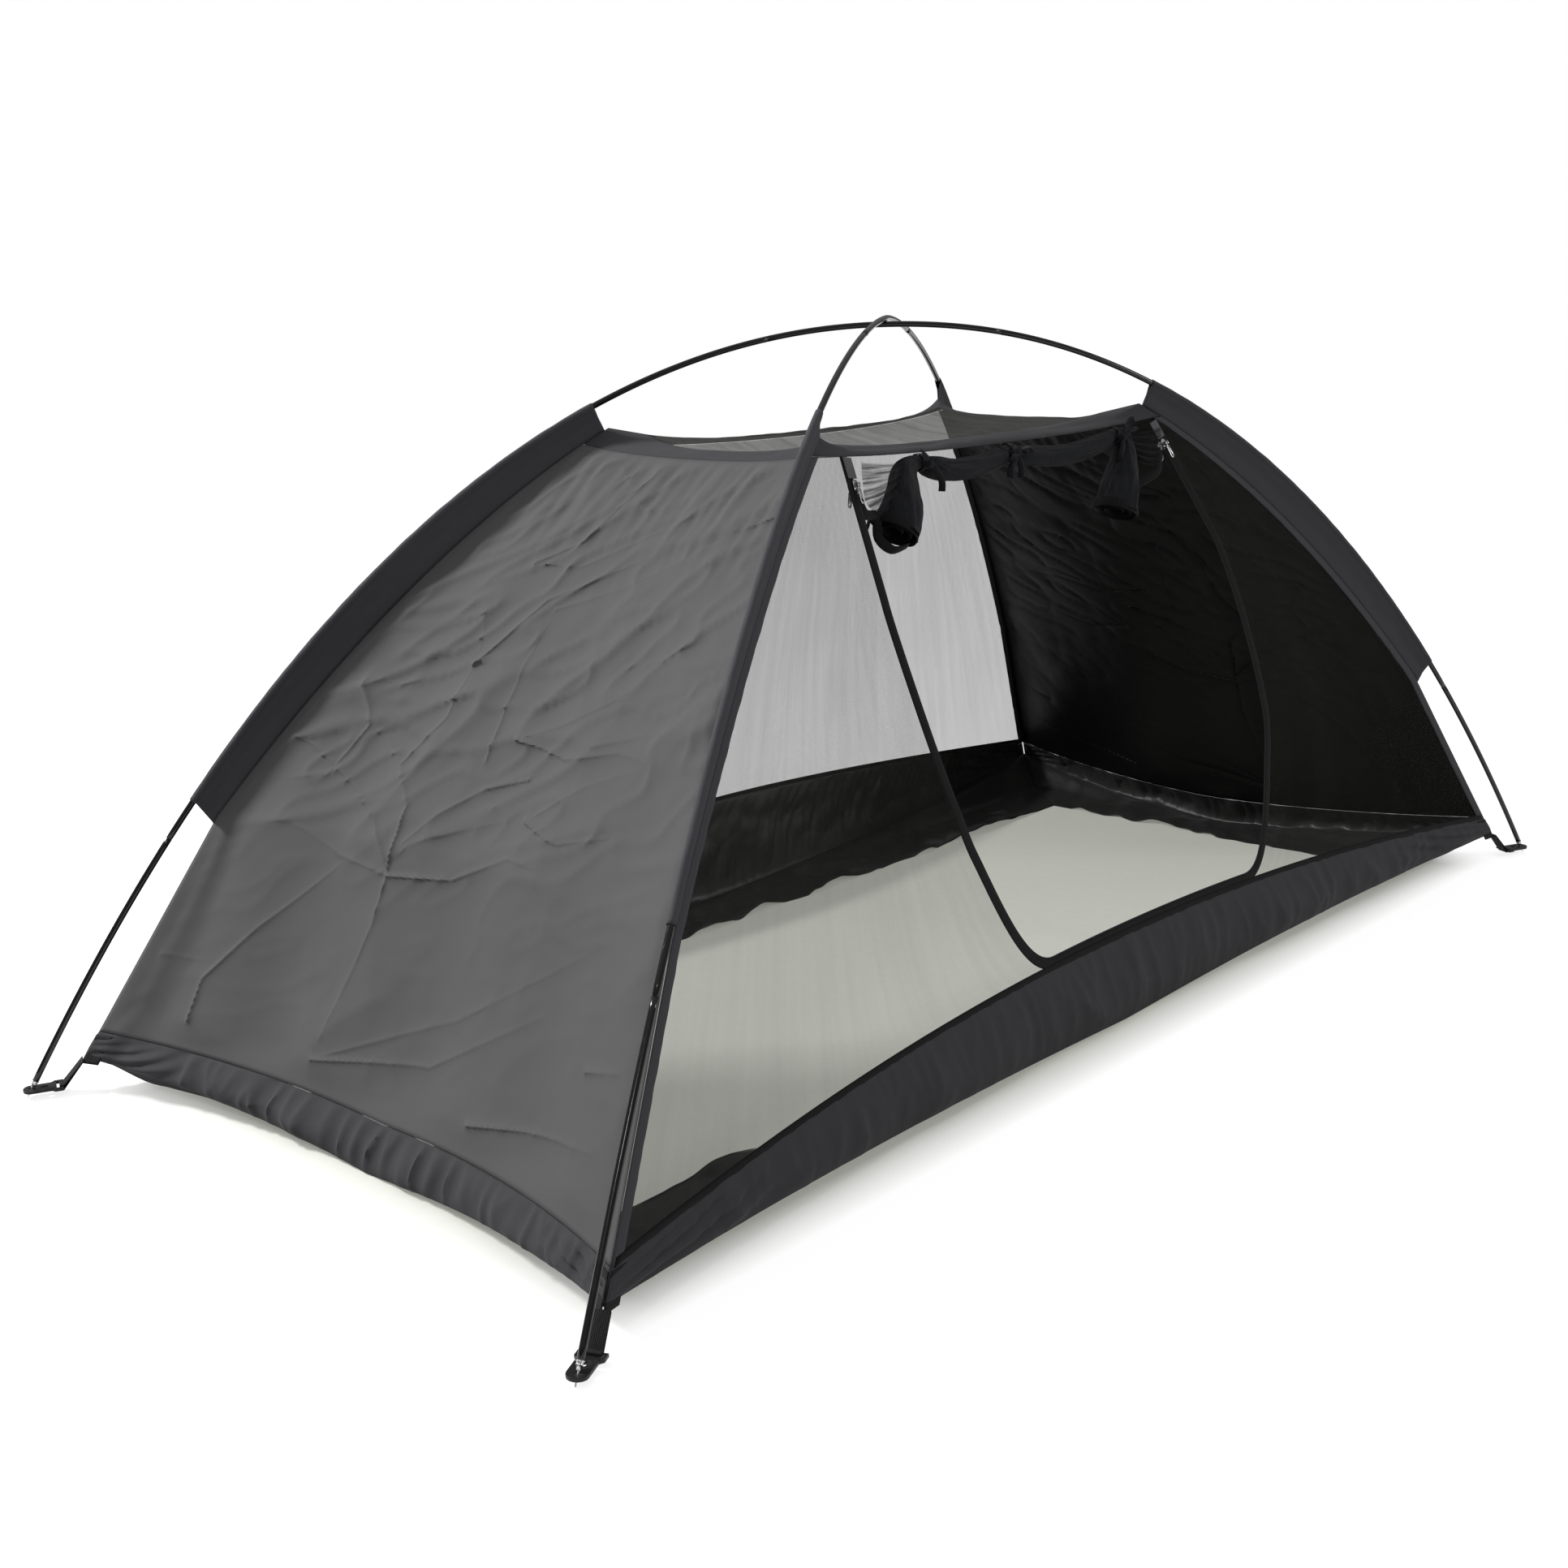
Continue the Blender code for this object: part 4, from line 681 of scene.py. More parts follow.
def stage_floor(name, color):
    """Pale floor, white to the camera round the tent, with grey-green shade painted under it; it keeps the
    tent's shadow.
    """
    paint = Paint(name)
    light = paint.node("ShaderNodeLightPath", output="Is Camera Ray")
    gloss = paint.node("ShaderNodeLightPath", output="Is Glossy Ray")
    clear = paint.node("ShaderNodeLightPath", output="Is Transmission Ray")
    seen = light.most(gloss).most(clear)
    split = paint.node("ShaderNodeSeparateXYZ", None, {"Vector": paint.place()})
    across = Value(paint, split.socket.node.outputs[0]).size()
    along = Value(paint, split.socket.node.outputs[1]).size()
    # Painted shade: a grey-green patch under the tent, with a darker colour and less lift, stands in for the
    # tent's shade on the floor; faint specks vary it
    under = paint.limits(across, shade_patch_half_length, shade_patch_half_length + shade_patch_fade_along, 1.0, 0.0)
    under = under * paint.limits(along, shade_patch_half_width, shade_patch_half_width + shade_patch_fade_across, 1.0, 0.0)
    painted_shade_specks = paint.shade(painted_shade_color, 0.94, 1.06, paint.grain(paint.place(), 60.0, 4.0, 0.7))
    pale = paint.mix(under, (floor_share, floor_share, floor_share, 1), painted_shade_specks)
    lift = paint.mix(under, (floor_lift, floor_lift, floor_lift, 1), (*painted_shade_lift, 1))
    paint.set(Base_Color=paint.mix(seen, (*color, 1), pale), Roughness=0.9)
    paint.set(Emission_Color=paint.mix(seen, (0, 0, 0, 1), lift))
    paint.set(Specular_IOR_Level=0.0, Emission_Strength=1.0)
    return paint.material


# Making pieces


def piece(name, bm, finish, nodes=(), body="tent", thickness=0.0, smooth=True, inside=None):
    """Object made from a mesh under construction; it stands for some of the frame's nodes."""
    mesh = bpy.data.meshes.new(name)
    bm.to_mesh(mesh)
    bm.free()
    mesh.materials.append(finish)
    if smooth:
        mesh.shade_smooth()
        mesh.set_sharp_from_angle(angle=math.radians(50))
    thing = bpy.data.objects.new(name, mesh)
    bpy.context.collection.objects.link(thing)
    if thickness:
        wall = thing.modifiers.new("cloth", "SOLIDIFY")
        wall.thickness = thickness
        wall.offset = 0
        if inside:
            mesh.materials.append(inside)
            wall.material_offset = 1
    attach(thing, body)
    if nodes:
        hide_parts(*nodes)
    return thing


def sheet_mesh(across, up, place, size=(1.0, 1.0), bm=None, refine=None):
    """Grid bent to a shape; place gives its points for shares from 0 to 1, and size its flat size."""
    bm = bm or bmesh.new()
    layer = bm.loops.layers.uv.get("cloth") or bm.loops.layers.uv.new("cloth")
    verts = bmesh.ops.create_grid(bm, x_segments=across, y_segments=up, size=1, calc_uvs=True)["verts"]
    if refine:
        refine(bm)
        verts = bm.verts[:]
    faces = {face for vert in verts for face in vert.link_faces}
    for face in faces:
        for loop in face.loops:
            share, rise = (loop.vert.co.x + 1) / 2, (loop.vert.co.y + 1) / 2
            loop[layer].uv = (share * size[0], rise * size[1])
    for vert in verts:
        vert.co = place((vert.co.x + 1) / 2, (vert.co.y + 1) / 2)
    return bm


def face_outwards(bm, weld=0.00002):
    bmesh.ops.remove_doubles(bm, verts=bm.verts, dist=weld)
    bmesh.ops.recalc_face_normals(bm, faces=bm.faces)
    if bm.calc_volume(signed=True) < 0:
        bmesh.ops.reverse_faces(bm, faces=bm.faces)


def ring_edges(verts):
    inside = set(verts)
    return list({edge for vert in verts for edge in vert.link_edges if edge.other_vert(vert) in inside})


def turned(bm, profile, place_at, sides):
    """Round shape along a line; profile lists (mark on the line, radius)."""
    mark, radius = profile[0]
    place = place_at(mark)
    ring = bmesh.ops.create_circle(bm, segments=sides, radius=radius, matrix=place, cap_ends=True)["verts"]
    for mark, following in profile[1:]:
        after = place_at(mark)
        growth = following / radius
        move = after @ Matrix.Diagonal((growth, growth, 1, 1)) @ place.inverted()
        grown = bmesh.ops.extrude_edge_only(bm, edges=ring_edges(ring))
        ring = [item for item in grown["geom"] if isinstance(item, bmesh.types.BMVert)]
        bmesh.ops.transform(bm, matrix=move, verts=ring)
        place, radius = after, following
    bmesh.ops.contextual_create(bm, geom=ring_edges(ring))
    face_outwards(bm, 0.000001)
    return bm


def smooth_step(low, high, value):
    share = min(1.0, max(0.0, (value - low) / (high - low)))
    return share * share * (3 - 2 * share)


# Vector noise starts from a random place in each run, unless it is given a seed
noise.seed_set(crumple_seed)


def crumple(point, scales):
    """Depth of crumpled cloth: cells that bow a little and meet at sharp folds."""
    total = 0.0
    for size, depth in scales:
        spot = point / size
        spot += noise.noise_vector(point * (0.55 / size)) * 0.45
        near = noise.voronoi(spot)[0][0]
        total += depth * near * near
    return total


def along_curve(points, share):
    """Point on a smooth curve through even stations."""
    last = len(points) - 1
    spot = min(share, 1.0) * last
    index = min(int(spot), last - 1)
    near = spot - index
    before = points[max(0, index - 1)]
    start, end = points[index], points[index + 1]
    after = points[min(last, index + 2)]
    bend = (2 * before - 5 * start + 4 * end - after) * near * near
    bend += (3 * start - before - 3 * end + after) * near ** 3
    return (2 * start + (end - before) * near + bend) / 2


def way_along(points, share, step):
    """Direction of a smooth curve through even stations."""
    ahead, behind = min(1, share + step), max(0, share - step)
    return (along_curve(points, ahead) - along_curve(points, behind)).normalized()


def places_from(start, *moves):
    """Points at some moves from a start."""
    return [start + Vector(move) for move in moves]


# Poles and corner fittings


def build_poles(colours):
    gloss = gloss_tube("gloss_pole", colours.pole)
    steel = bright_metal("bright_steel", (0.72, 0.72, 0.74))
    for label, (pole, ends) in poles.items():
        for index in range(sections_per_pole):
            start = pole.tube_start + index * pole.section
            top = start + pole.section - seat_gap
            marks = [blend(start, top, step / 24) for step in range(25)]
            profile = [(start, tube_radius - 0.0004)] + [(start + 0.0004, tube_radius)]
            profile += [(mark, tube_radius) for mark in marks[1:-1]]
            profile += [(top - 0.0004, tube_radius), (top, tube_radius - 0.0004)]
            tube = turned(bmesh.new(), profile, pole.frame, 24)
            name = f"{label}_pole_section_{index + 1}"
            piece(name + "_tube", tube, gloss, [name])
        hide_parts(f"{label}_pole_shock_cord")
        for end, low_end in zip(ends, (True, False)):
            piece(f"pole_tip_{end}_steel", tip_mesh(pole, low_end), steel, [f"pole_tip_{end}"])


def tip_mesh(pole, low_end):
    """Pin, cone, ribs and flange of a tip, from the ground up."""
    taper = pole.tube_start - seat_gap - tip_flange_length - tip_taper_length
    flange = taper + tip_taper_length
    pin = 0.0004 + pin_radius * math.sqrt(1 - pole.rise ** 2) / pole.rise
    profile = [
        (pin, pin_radius * 0.55), (pin + 0.0012, pin_radius), (taper, pin_radius),
        (taper, tip_taper_end_radius), (flange - 0.0035, tube_radius * 0.80),
        (flange - 0.0032, tube_radius * 0.92), (flange - 0.0018, tube_radius * 0.92),
        (flange - 0.0015, tube_radius * 0.84), (flange, tube_radius * 0.88),
        (flange, tip_flange_radius - 0.0003), (flange + 0.0003, tip_flange_radius),
        (flange + tip_flange_length - 0.0003, tip_flange_radius),
        (flange + tip_flange_length, tip_flange_radius - 0.0003), (flange + tip_flange_length, 0.0032),
        (flange + tip_flange_length + 0.012, 0.0032),
    ]

    def place_at(mark):
        if low_end:
            return pole.frame(mark)
        return pole.frame(pole.total - mark)
    return turned(bmesh.new(), profile, place_at, 24)


def rounded_copy(node, width, flat_angle, sharp_angle):
    """Mesh of a frame node with its flat faces joined and its sharp edges rounded; angles in degrees."""
    bm = bmesh.new()
    bm.from_mesh(frame["nodes"][node].data)
    bmesh.ops.remove_doubles(bm, verts=bm.verts, dist=merge_reach)
    bmesh.ops.dissolve_limit(bm, angle_limit=math.radians(flat_angle), verts=bm.verts, edges=bm.edges)
    sharp = [edge for edge in bm.edges if edge.calc_face_angle(0) > math.radians(sharp_angle)]
    bmesh.ops.bevel(
        bm, geom=sharp, offset=width, offset_type="OFFSET", segments=2, profile=0.5, affect="EDGES",
        material=-1, clamp_overlap=True,
    )
    bmesh.ops.recalc_face_normals(bm, faces=bm.faces)
    return bm


def softened(node, finish, name, width):
    """Copy of a frame node with its edges rounded, which stands for the node."""
    bm = rounded_copy(node, width, 2, 28)
    bmesh.ops.triangulate(bm, faces=[face for face in bm.faces if len(face.verts) > 4])
    return piece(name, bm, finish, [node], body=frame_body(node))


def frame_body(node):
    for body, nodes in frame["record"]["behaviour"]["bodies"].items():
        if node in nodes:
            return body
    return "tent"


def build_corners():
    plastic = moulded_plastic("corner_plastic", (0.014, 0.014, 0.015))
    woven = webbing_weave("corner_webbing", (0.012, 0.012, 0.013))
    for corner in corner_signs:
        softened(f"corner_plate_{corner}", plastic, f"plate_{corner}", 0.0005)
        strap(corner, woven)
        end, side = corner.split("_")
        for wall in (end, side):
            corner_patch(corner, wall, woven)


def strap(corner, finish):
    """Webbing from the plate's bar to the corner of the tent, as one woven loop."""
    node = f"corner_strap_{corner}"
    bm = rounded_copy(node, 0.0003, 1, 30)
    signs = corner_signs[corner]
    way = Vector((-signs[0] * plan_way().x, -signs[1] * plan_way().y, 0))
    side = Vector((0, 0, 1)).cross(way)
    layer = bm.loops.layers.uv.new("cloth")
    for face in bm.faces:
        for loop in face.loops:
            loop[layer].uv = (loop.vert.co.dot(side), loop.vert.co.dot(way) + loop.vert.co.z)
    piece(f"strap_{corner}", bm, finish, [node])


# End cloths, nets, roof and base bands


end_scales = ((0.21, 0.014), (0.085, 0.0052), (0.036, 0.0014))


class Creases:
    """Sharp folds of an end cloth; each stands out most at its first point."""

    def __init__(self, depth):
        starts, runs, first, last = [], [], [], []
        for index, line in enumerate(creases):
            size = depth * (0.65 + 0.35 * math.sin(index * 2.4))
            count = len(line) - 1
            for step, (start, end) in enumerate(zip(line, line[1:])):
                starts.append(start)
                runs.append((end[0] - start[0], end[1] - start[1]))
                first.append(size * (1 - crease_fade * step / count))
                last.append(size * (1 - crease_fade * (step + 1) / count))
        self.starts, self.runs = np.array(starts), np.array(runs)
        self.first, self.last = np.array(first), np.array(last)
        self.squares = (self.runs ** 2).sum(1)

    def near(self, along, height):
        """Share along every fold's piece at its nearest point, and how far away that is."""
        place = np.array((along, height)) - self.starts
        share = np.clip((place * self.runs).sum(1) / self.squares, 0, 1)
        gap = place - share[:, None] * self.runs
        return share, np.hypot(gap[:, 0], gap[:, 1])

    def relief(self, along, height):
        share, away = self.near(along, height)
        size = self.first + (self.last - self.first) * share
        folds = size * (0.35 * np.exp(-away / crease_reach) + 0.65 * np.exp(-away / crease_edge))
        return float(folds.max())


def end_relief(along, height, seed, depth):
    """How far crumpled end cloth stands out at a place, beside its main creases."""
    rise = height / roof_end_height
    point = Vector((along, height * 1.15, seed))
    crumpled = crumple(point, end_scales) - 0.004
    busy = smooth_step(-0.35, 0.45, noise.noise(point * 4.5) + 0.55 * (rise - 0.45))
    drape = 0.0055 * math.sin(30 * along + 2.5 * math.sin(3 * along + seed)) * (1 - rise)
    near_roof = smooth_step(0.16, 0.0, roof_end_height - height)
    pucker = 0.0060 * near_roof * noise.noise(Vector((along * 62, height * 7, seed)))
    turn = 1 if seed < 5 else -1
    slant = Vector((0.42 * along * turn + 0.90 * height, 0.42 * height - 0.90 * along * turn, seed))
    high = smooth_step(0.30, 0.70, rise)
    long_ridge = (1 - abs(noise.noise(Vector((slant.x * 13, slant.y * 4.0, seed))))) ** 7
    fine_ridge = (1 - abs(noise.noise(Vector((slant.x * 27, slant.y * 11, seed + 4))))) ** 8
    long_fold = (0.0080 if turn > 0 else 0.0030) * high * long_ridge
    fine_fold = 0.0040 * (0.2 + high) * fine_ridge
    soft = (crumpled * (0.25 + 0.75 * busy) + drape) * (depth / end_relief_depth)
    return soft + pucker + long_fold + fine_fold


def end_cloth(wall, finish, inside, depth, thickness):
    seed, turn = (3.7, 1) if wall == "left" else (8.2, -1)
    folds = Creases(crease_height)

    def spot(share, rise):
        side = 2 * share - 1
        low, high = band_top(wall, side) + seam_lift, roof_seam(wall, side) + seam_lift
        height = blend(low, high, rise)
        return side * half_span(wall, height), height

    def refine(bm):
        """Finer faces beside the main creases."""
        close = []
        for edge in bm.edges:
            middle = (edge.verts[0].co + edge.verts[1].co) / 2
            along, height = spot((middle.x + 1) / 2, (middle.y + 1) / 2)
            if folds.near(along * turn, height)[1].min() < crease_edge * 1.7:
                close.append(edge)
        bmesh.ops.subdivide_edges(bm, edges=close, cuts=2, use_grid_fill=True)

    def place(share, rise):
        along, height = spot(share, rise)
        edge = min((1 - abs(2 * share - 1)) / 0.06, rise / 0.05, (1 - rise) / 0.018, 1.0)
        out = end_relief(along, height, seed, depth) + folds.relief(along * turn, height)
        return wall_point(wall, along, height, out * smooth_step(0, 1, edge))
    bm = sheet_mesh(186, 148, place, (0.96, 0.86), refine=refine)
    if wall == "left":
        bmesh.ops.reverse_faces(bm, faces=bm.faces)
    thing = piece(
        f"end_cloth_{wall}", bm, finish, [f"end_panel_{wall}"], thickness=thickness,
        inside=inside)


def back_net(finish):
    def place(share, rise):
        side = 2 * share - 1
        low = band_top("back", side) + 0.0002
        high = roof_seam("back", side) - net_seam_drop
        height = blend(low, high, rise)
        edge = smooth_step(0, 1, min((1 - abs(side)) / 0.12, rise / 0.10, (1 - rise) / 0.05, 1.0))
        along = side * half_span("back", height)
        fan = 26 * share + 5 * (share - 0.5) * rise
        out = 0.0030 * math.sin(2 * math.pi * fan / 3.1 + 3 * noise.noise(Vector((along * 3, height * 2, 1))))
        return wall_point("back", along, height, out * edge)
    bm = sheet_mesh(130, 60, place, (2.0, 0.72))
    bmesh.ops.reverse_faces(bm, faces=bm.faces)
    thing = piece("net_back", bm, finish, ["back_net"])


def front_net(label, finish, frames):
    """Net between a front hip and the zip tape."""
    left = label == "left"
    edge = net_edge(frames, left)
    turn = -1 if left else 1
    low_share = share_at("front", edge[0].x, band_top)
    high_share = share_at("front", edge[-1].x, roof_seam)

    def seam_point(share, seam, rise):
        height = seam("front", share) + rise
        return Vector((share * half_span("front", height), height))

    def low(share):
        return seam_point(blend(turn, low_share, share), band_top, 0.0002)

    def high(share):
        return seam_point(blend(turn, high_share, share), roof_seam, -net_seam_drop)

    def place(share, rise):
        zip_side = edge[round(rise * (len(edge) - 1))]
        if share > 0.9999:
            return zip_side
        hip_height = blend(low(0).y, high(0).y, rise)
        hip_side = Vector((turn * half_span("front", hip_height), hip_height))
        flat = blend(low(share), high(share), rise) + blend(hip_side, zip_side.xz, share)
        flat -= blend(blend(low(0), low(1), share), blend(high(0), high(1), share), rise)
        bend = zip_side - wall_point("front", zip_side.x, zip_side.z)
        fade = math.sin(math.pi * share) * math.sin(math.pi * min(1.0, rise))
        drift = 3 * noise.noise(Vector((share * 4, rise * 2, 5)))
        out = 0.003 * fade * math.sin(16 * share + 4 * rise + drift)
        return wall_point("front", flat.x, flat.y, out) + bend * share ** 3
    bm = sheet_mesh(44, len(edge) - 1, place, (0.62, 0.78))
    if not left:
        bmesh.ops.reverse_faces(bm, faces=bm.faces)
    thing = piece(f"net_front_{label}", bm, finish, [f"front_net_{label}"])


def signed(point, wall, share):
    """Put a point of the positive quarter on its wall, on the side that share says."""
    turn = math.copysign(1, share)
    x, y = (turn, 1 if wall == "back" else -1) if is_side(wall) else (1 if wall == "right" else -1, turn)
    return Vector((x * point.x, y * point.y, point.z))


def roof_loop(wall, share, kind):
    """Edge lines of the roof band: outer at the walls, crest on top, inner at the net."""
    way = plan_way()
    outer_height = roof_seam(wall, share)
    outer = wall_point(wall, share * half_span(wall, outer_height), outer_height + 0.0006)
    corner = hip(roof_corner_height) - way * roof_corner_inset
    corner_end = Vector((corner.x, corner.y, roof_corner_height + 0.0006))
    peak_plan = hip(hip_top_height) - way * roof_corner_inset
    peak = Vector((peak_plan.x, peak_plan.y, hip_top_height))
    long_side = is_side(wall)
    middle = wall_point(wall, 0.0, roof_side_height if long_side else roof_end_height)
    depth = abs(middle.y) if long_side else abs(middle.x)
    size = abs(share)
    if kind == "outer":
        flat = Vector((abs(outer.x), abs(outer.y), outer.z)).lerp(corner_end, size ** 12)
        return signed(flat, wall, share)
    if kind == "crest":
        level = depth - roof_band_width * roof_crest_share
        height = middle.z + roof_crest_rise
        edge = peak
        plan_power, height_power = 3, 6
    else:
        level = depth - roof_band_width
        height = middle.z + roof_inner_rise
        inner_corner = Vector((peak.x, peak.y)) - Vector((roof_band_width * 1.2, roof_band_width))
        edge = Vector((inner_corner.x, inner_corner.y, roof_corner_height + roof_crest_rise))
        plan_power, height_power = 2, 3
    reach = edge.x if long_side else edge.y
    across = edge.y if long_side else edge.x
    level = blend(level, across, size ** plan_power)
    height = blend(height, edge.z, size ** height_power)
    point = Vector((size * reach, level, height)) if long_side else Vector((level, size * reach, height))
    return signed(point, wall, share)


def roof_band(finish, thickness):
    """Cloth band round the roof net; it climbs to a peak at each sleeve."""
    bm = bmesh.new()
    for wall, turn in (("front", 1), ("right", 1), ("back", -1), ("left", -1)):
        across = 110 if is_side(wall) else 56

        def place(share, rise, wall=wall, turn=turn):
            side = turn * (2 * share - 1)
            outer, crest, inner = (roof_loop(wall, side, kind) for kind in ("outer", "crest", "inner"))
            if rise < 0.5:
                point = outer.lerp(crest, rise * 2)
            else:
                point = crest.lerp(inner, rise * 2 - 1)
            span = 0.5 - abs(rise - 0.5)
            swell = 0.0016 * math.sin(math.pi * min(1, abs(rise * 2 - 1))) * (1 - abs(side) ** 6)
            ripple = noise.noise(Vector((point.x * 26, point.y * 26, rise * 1.5))) * 0.0022 * span * 2
            return point + Vector((0, 0, swell + ripple * (1 - abs(side) ** 8)))
        length = 0.88 if is_side(wall) else 0.40
        sheet_mesh(across, 10, place, (length, 0.045), bm)
    bmesh.ops.remove_doubles(bm, verts=bm.verts, dist=0.0002)
    bmesh.ops.recalc_face_normals(bm, faces=bm.faces)
    thing = piece("roof_band", bm, finish, ["roof_edge_band"], thickness=thickness)


def roof_net(finish):
    def place(share, rise):
        x_side, y_side = 2 * share - 1, 2 * rise - 1
        front = roof_loop("front", x_side, "inner")
        back = roof_loop("back", x_side, "inner")
        left = roof_loop("left", y_side, "inner")
        right = roof_loop("right", y_side, "inner")
        corners = [roof_loop(wall, turn, "inner") for wall in ("front", "back") for turn in (-1, 1)]
        low = corners[0].lerp(corners[1], share)
        high = corners[2].lerp(corners[3], share)
        point = front.lerp(back, rise) + left.lerp(right, share) - low.lerp(high, rise)
        sag = roof_net_sag * (1 - x_side ** 2) * (1 - y_side ** 2)
        ripple = 0.004 * noise.noise(Vector((point.x * 7 + point.y * 4, point.y * 26, 2.0)))
        return point - Vector((0, 0, sag - ripple * (1 - x_side ** 4) * (1 - y_side ** 4)))
    bm = sheet_mesh(80, 40, place, (0.80, 0.34))
    thing = piece("net_roof", bm, finish, ["roof_net"])


def base_band(wall, finish, inside, thickness):
    """Band with a soft bulge that turns under into a skirt on the ground."""
    side_wall = is_side(wall)
    width = skirt_width_side if side_wall else skirt_width_end
    floor = floor_gap
    seed = {"front": 1.3, "back": 5.1, "left": 9.4, "right": 13.8}[wall]
    fold_share = band_fold_share

    def wall_part(side, climb):
        lift = corner_height * abs(side) ** band_corner_lift_power
        top = band_top(wall, side) - 0.0003
        height = blend(floor + lift, top, climb)
        along = side * half_span(wall, height)
        middle = math.sin(math.pi * climb ** 0.8)
        calm = 1 - abs(side) ** 10
        corner = smooth_step(0.55, 0.98, abs(side))
        bulge = (band_bulge_side if side_wall else band_bulge_end) * middle * (1 - 0.75 * corner)
        pleat = 1 - abs(noise.noise(Vector((along * 38, height * 9, seed))))
        gather = (pleat ** 3 - 0.5) * band_gather_depth * (0.25 + climb) * middle ** 0.5
        fan = (abs(side) - 0.5) * 60 * (0.6 + 0.8 * climb)
        drift = 2 * noise.noise(Vector((along * 9, height * 20, seed)))
        folds = band_corner_fold_depth * corner * calm * math.sin(fan + drift) * middle
        point = Vector((along, height, seed))
        soft = (crumple(point, ((0.12, 0.016), (0.05, 0.0050))) - 0.004) * middle * calm
        if not side_wall:
            gather *= 1.7
        return wall_point(wall, along, height, bulge + gather * calm + folds + soft)

    def place(share, rise):
        side = 2 * share - 1
        if rise >= fold_share:
            return wall_part(side, (rise - fold_share) / (1 - fold_share))
        inward = 1 - rise / fold_share
        edge = wall_part(side, 0.0)
        inner_x = half_span("front", floor) - skirt_width_end
        inner_y = half_span("left", floor) - skirt_width_side
        level = inner_y if side_wall else inner_x
        waver = noise.noise(Vector((side * 7, seed, 0))) * skirt_waver * (1 - side ** 4) * inward
        if side_wall:
            inner = Vector((side * inner_x, math.copysign(level + waver, edge.y), floor))
        else:
            inner = Vector((math.copysign(level + waver, edge.x), side * inner_y, floor))
        point = edge.lerp(inner, inward)
        point.z = blend(edge.z, floor, smooth_step(0, 0.4, inward))
        calm = smooth_step(0, 0.2, inward) * (1 - abs(side) ** 6)
        spot = Vector((point.x * 11, point.y * 11, seed))
        lift = max(0.0, noise.noise(spot) * 0.016 + noise.noise(spot * 2.7) * 0.006 + 0.002)
        point.z += lift * calm
        return point
    length = 2.16 if side_wall else 1.02
    bm = sheet_mesh(400 if side_wall else 260, 56, place, (length, width + 0.12))
    if wall in ("back", "left"):
        bmesh.ops.reverse_faces(bm, faces=bm.faces)
    thing = piece(
        f"band_{wall}", bm, finish, [f"base_band_{wall}"], thickness=thickness,
        inside=inside)


def corner_patch(corner, wall, finish):
    """Webbing sewn on a lower corner of the band, over the strap's end."""
    signs = corner_signs[corner]
    side = signs[0] if is_side(wall) else signs[1]

    def place(share, rise):
        height = blend(corner_height - 0.006, band_corner_height - 0.004, rise)
        along = side * (half_span(wall, height) - 0.026 * share)
        return wall_point(wall, along, height, 0.0016)
    bm = sheet_mesh(8, 10, place, (0.026, 0.036))
    bmesh.ops.recalc_face_normals(bm, faces=bm.faces)
    thing = piece(f"corner_patch_{corner}_{wall}", bm, finish, (), thickness=0.0012)


def seam_tape(name, wall, finish, width, lift=0.0006):
    """Narrow tape sewn over the seam between a wall and its base band."""
    def place(share, rise):
        side = (2 * share - 1) * 0.995
        height = band_top(wall, side) + width * (rise - 0.35)
        out = lift + 0.0010 * math.sin(math.pi * rise)
        return wall_point(wall, side * half_span(wall, height), height, out)
    bm = sheet_mesh(240, 4, place, (2.1, width))
    bmesh.ops.recalc_face_normals(bm, faces=bm.faces)
    thing = piece(name, bm, finish, (), thickness=0.0006)


def hip_tape(corner, finish, width, wall):
    """Dark strip of cloth on a net beside its hip seam."""
    signs = corner_signs[corner]

    def place(share, rise):
        height = blend(band_corner_height, roof_corner_height - 0.001, rise)
        low_turn = signs[0] * (half_span(wall, height) - 0.0004)
        wobble = 0.0016 * noise.noise(Vector((height * 60, signs[0], signs[1])))
        reach = (width + wobble) * share
        out = 0.0008 * (1 if wall == "front" else -1)
        return wall_point(wall, low_turn - signs[0] * reach, height, out)
    bm = sheet_mesh(4, 120, place, (width, 1.05))
    bmesh.ops.recalc_face_normals(bm, faces=bm.faces)
    thing = piece(f"hip_tape_{corner}", bm, finish, (), thickness=0.0005)
    under = "net_back" if wall == "back" else "net_" + corner


def hip_on_plane(centre, way, signs):
    """Point of the hip line on the plane square to the pole."""
    low, high = centre.z - sleeve_reach_top, min(centre.z, hip_top_height)
    rising = way if way.z > 0 else -way
    for _ in range(40):
        middle = (low + high) / 2
        if (hip_point(middle, signs) - centre).dot(rising) < 0:
            low = middle
        else:
            high = middle
    return hip_point((low + high) / 2, signs)


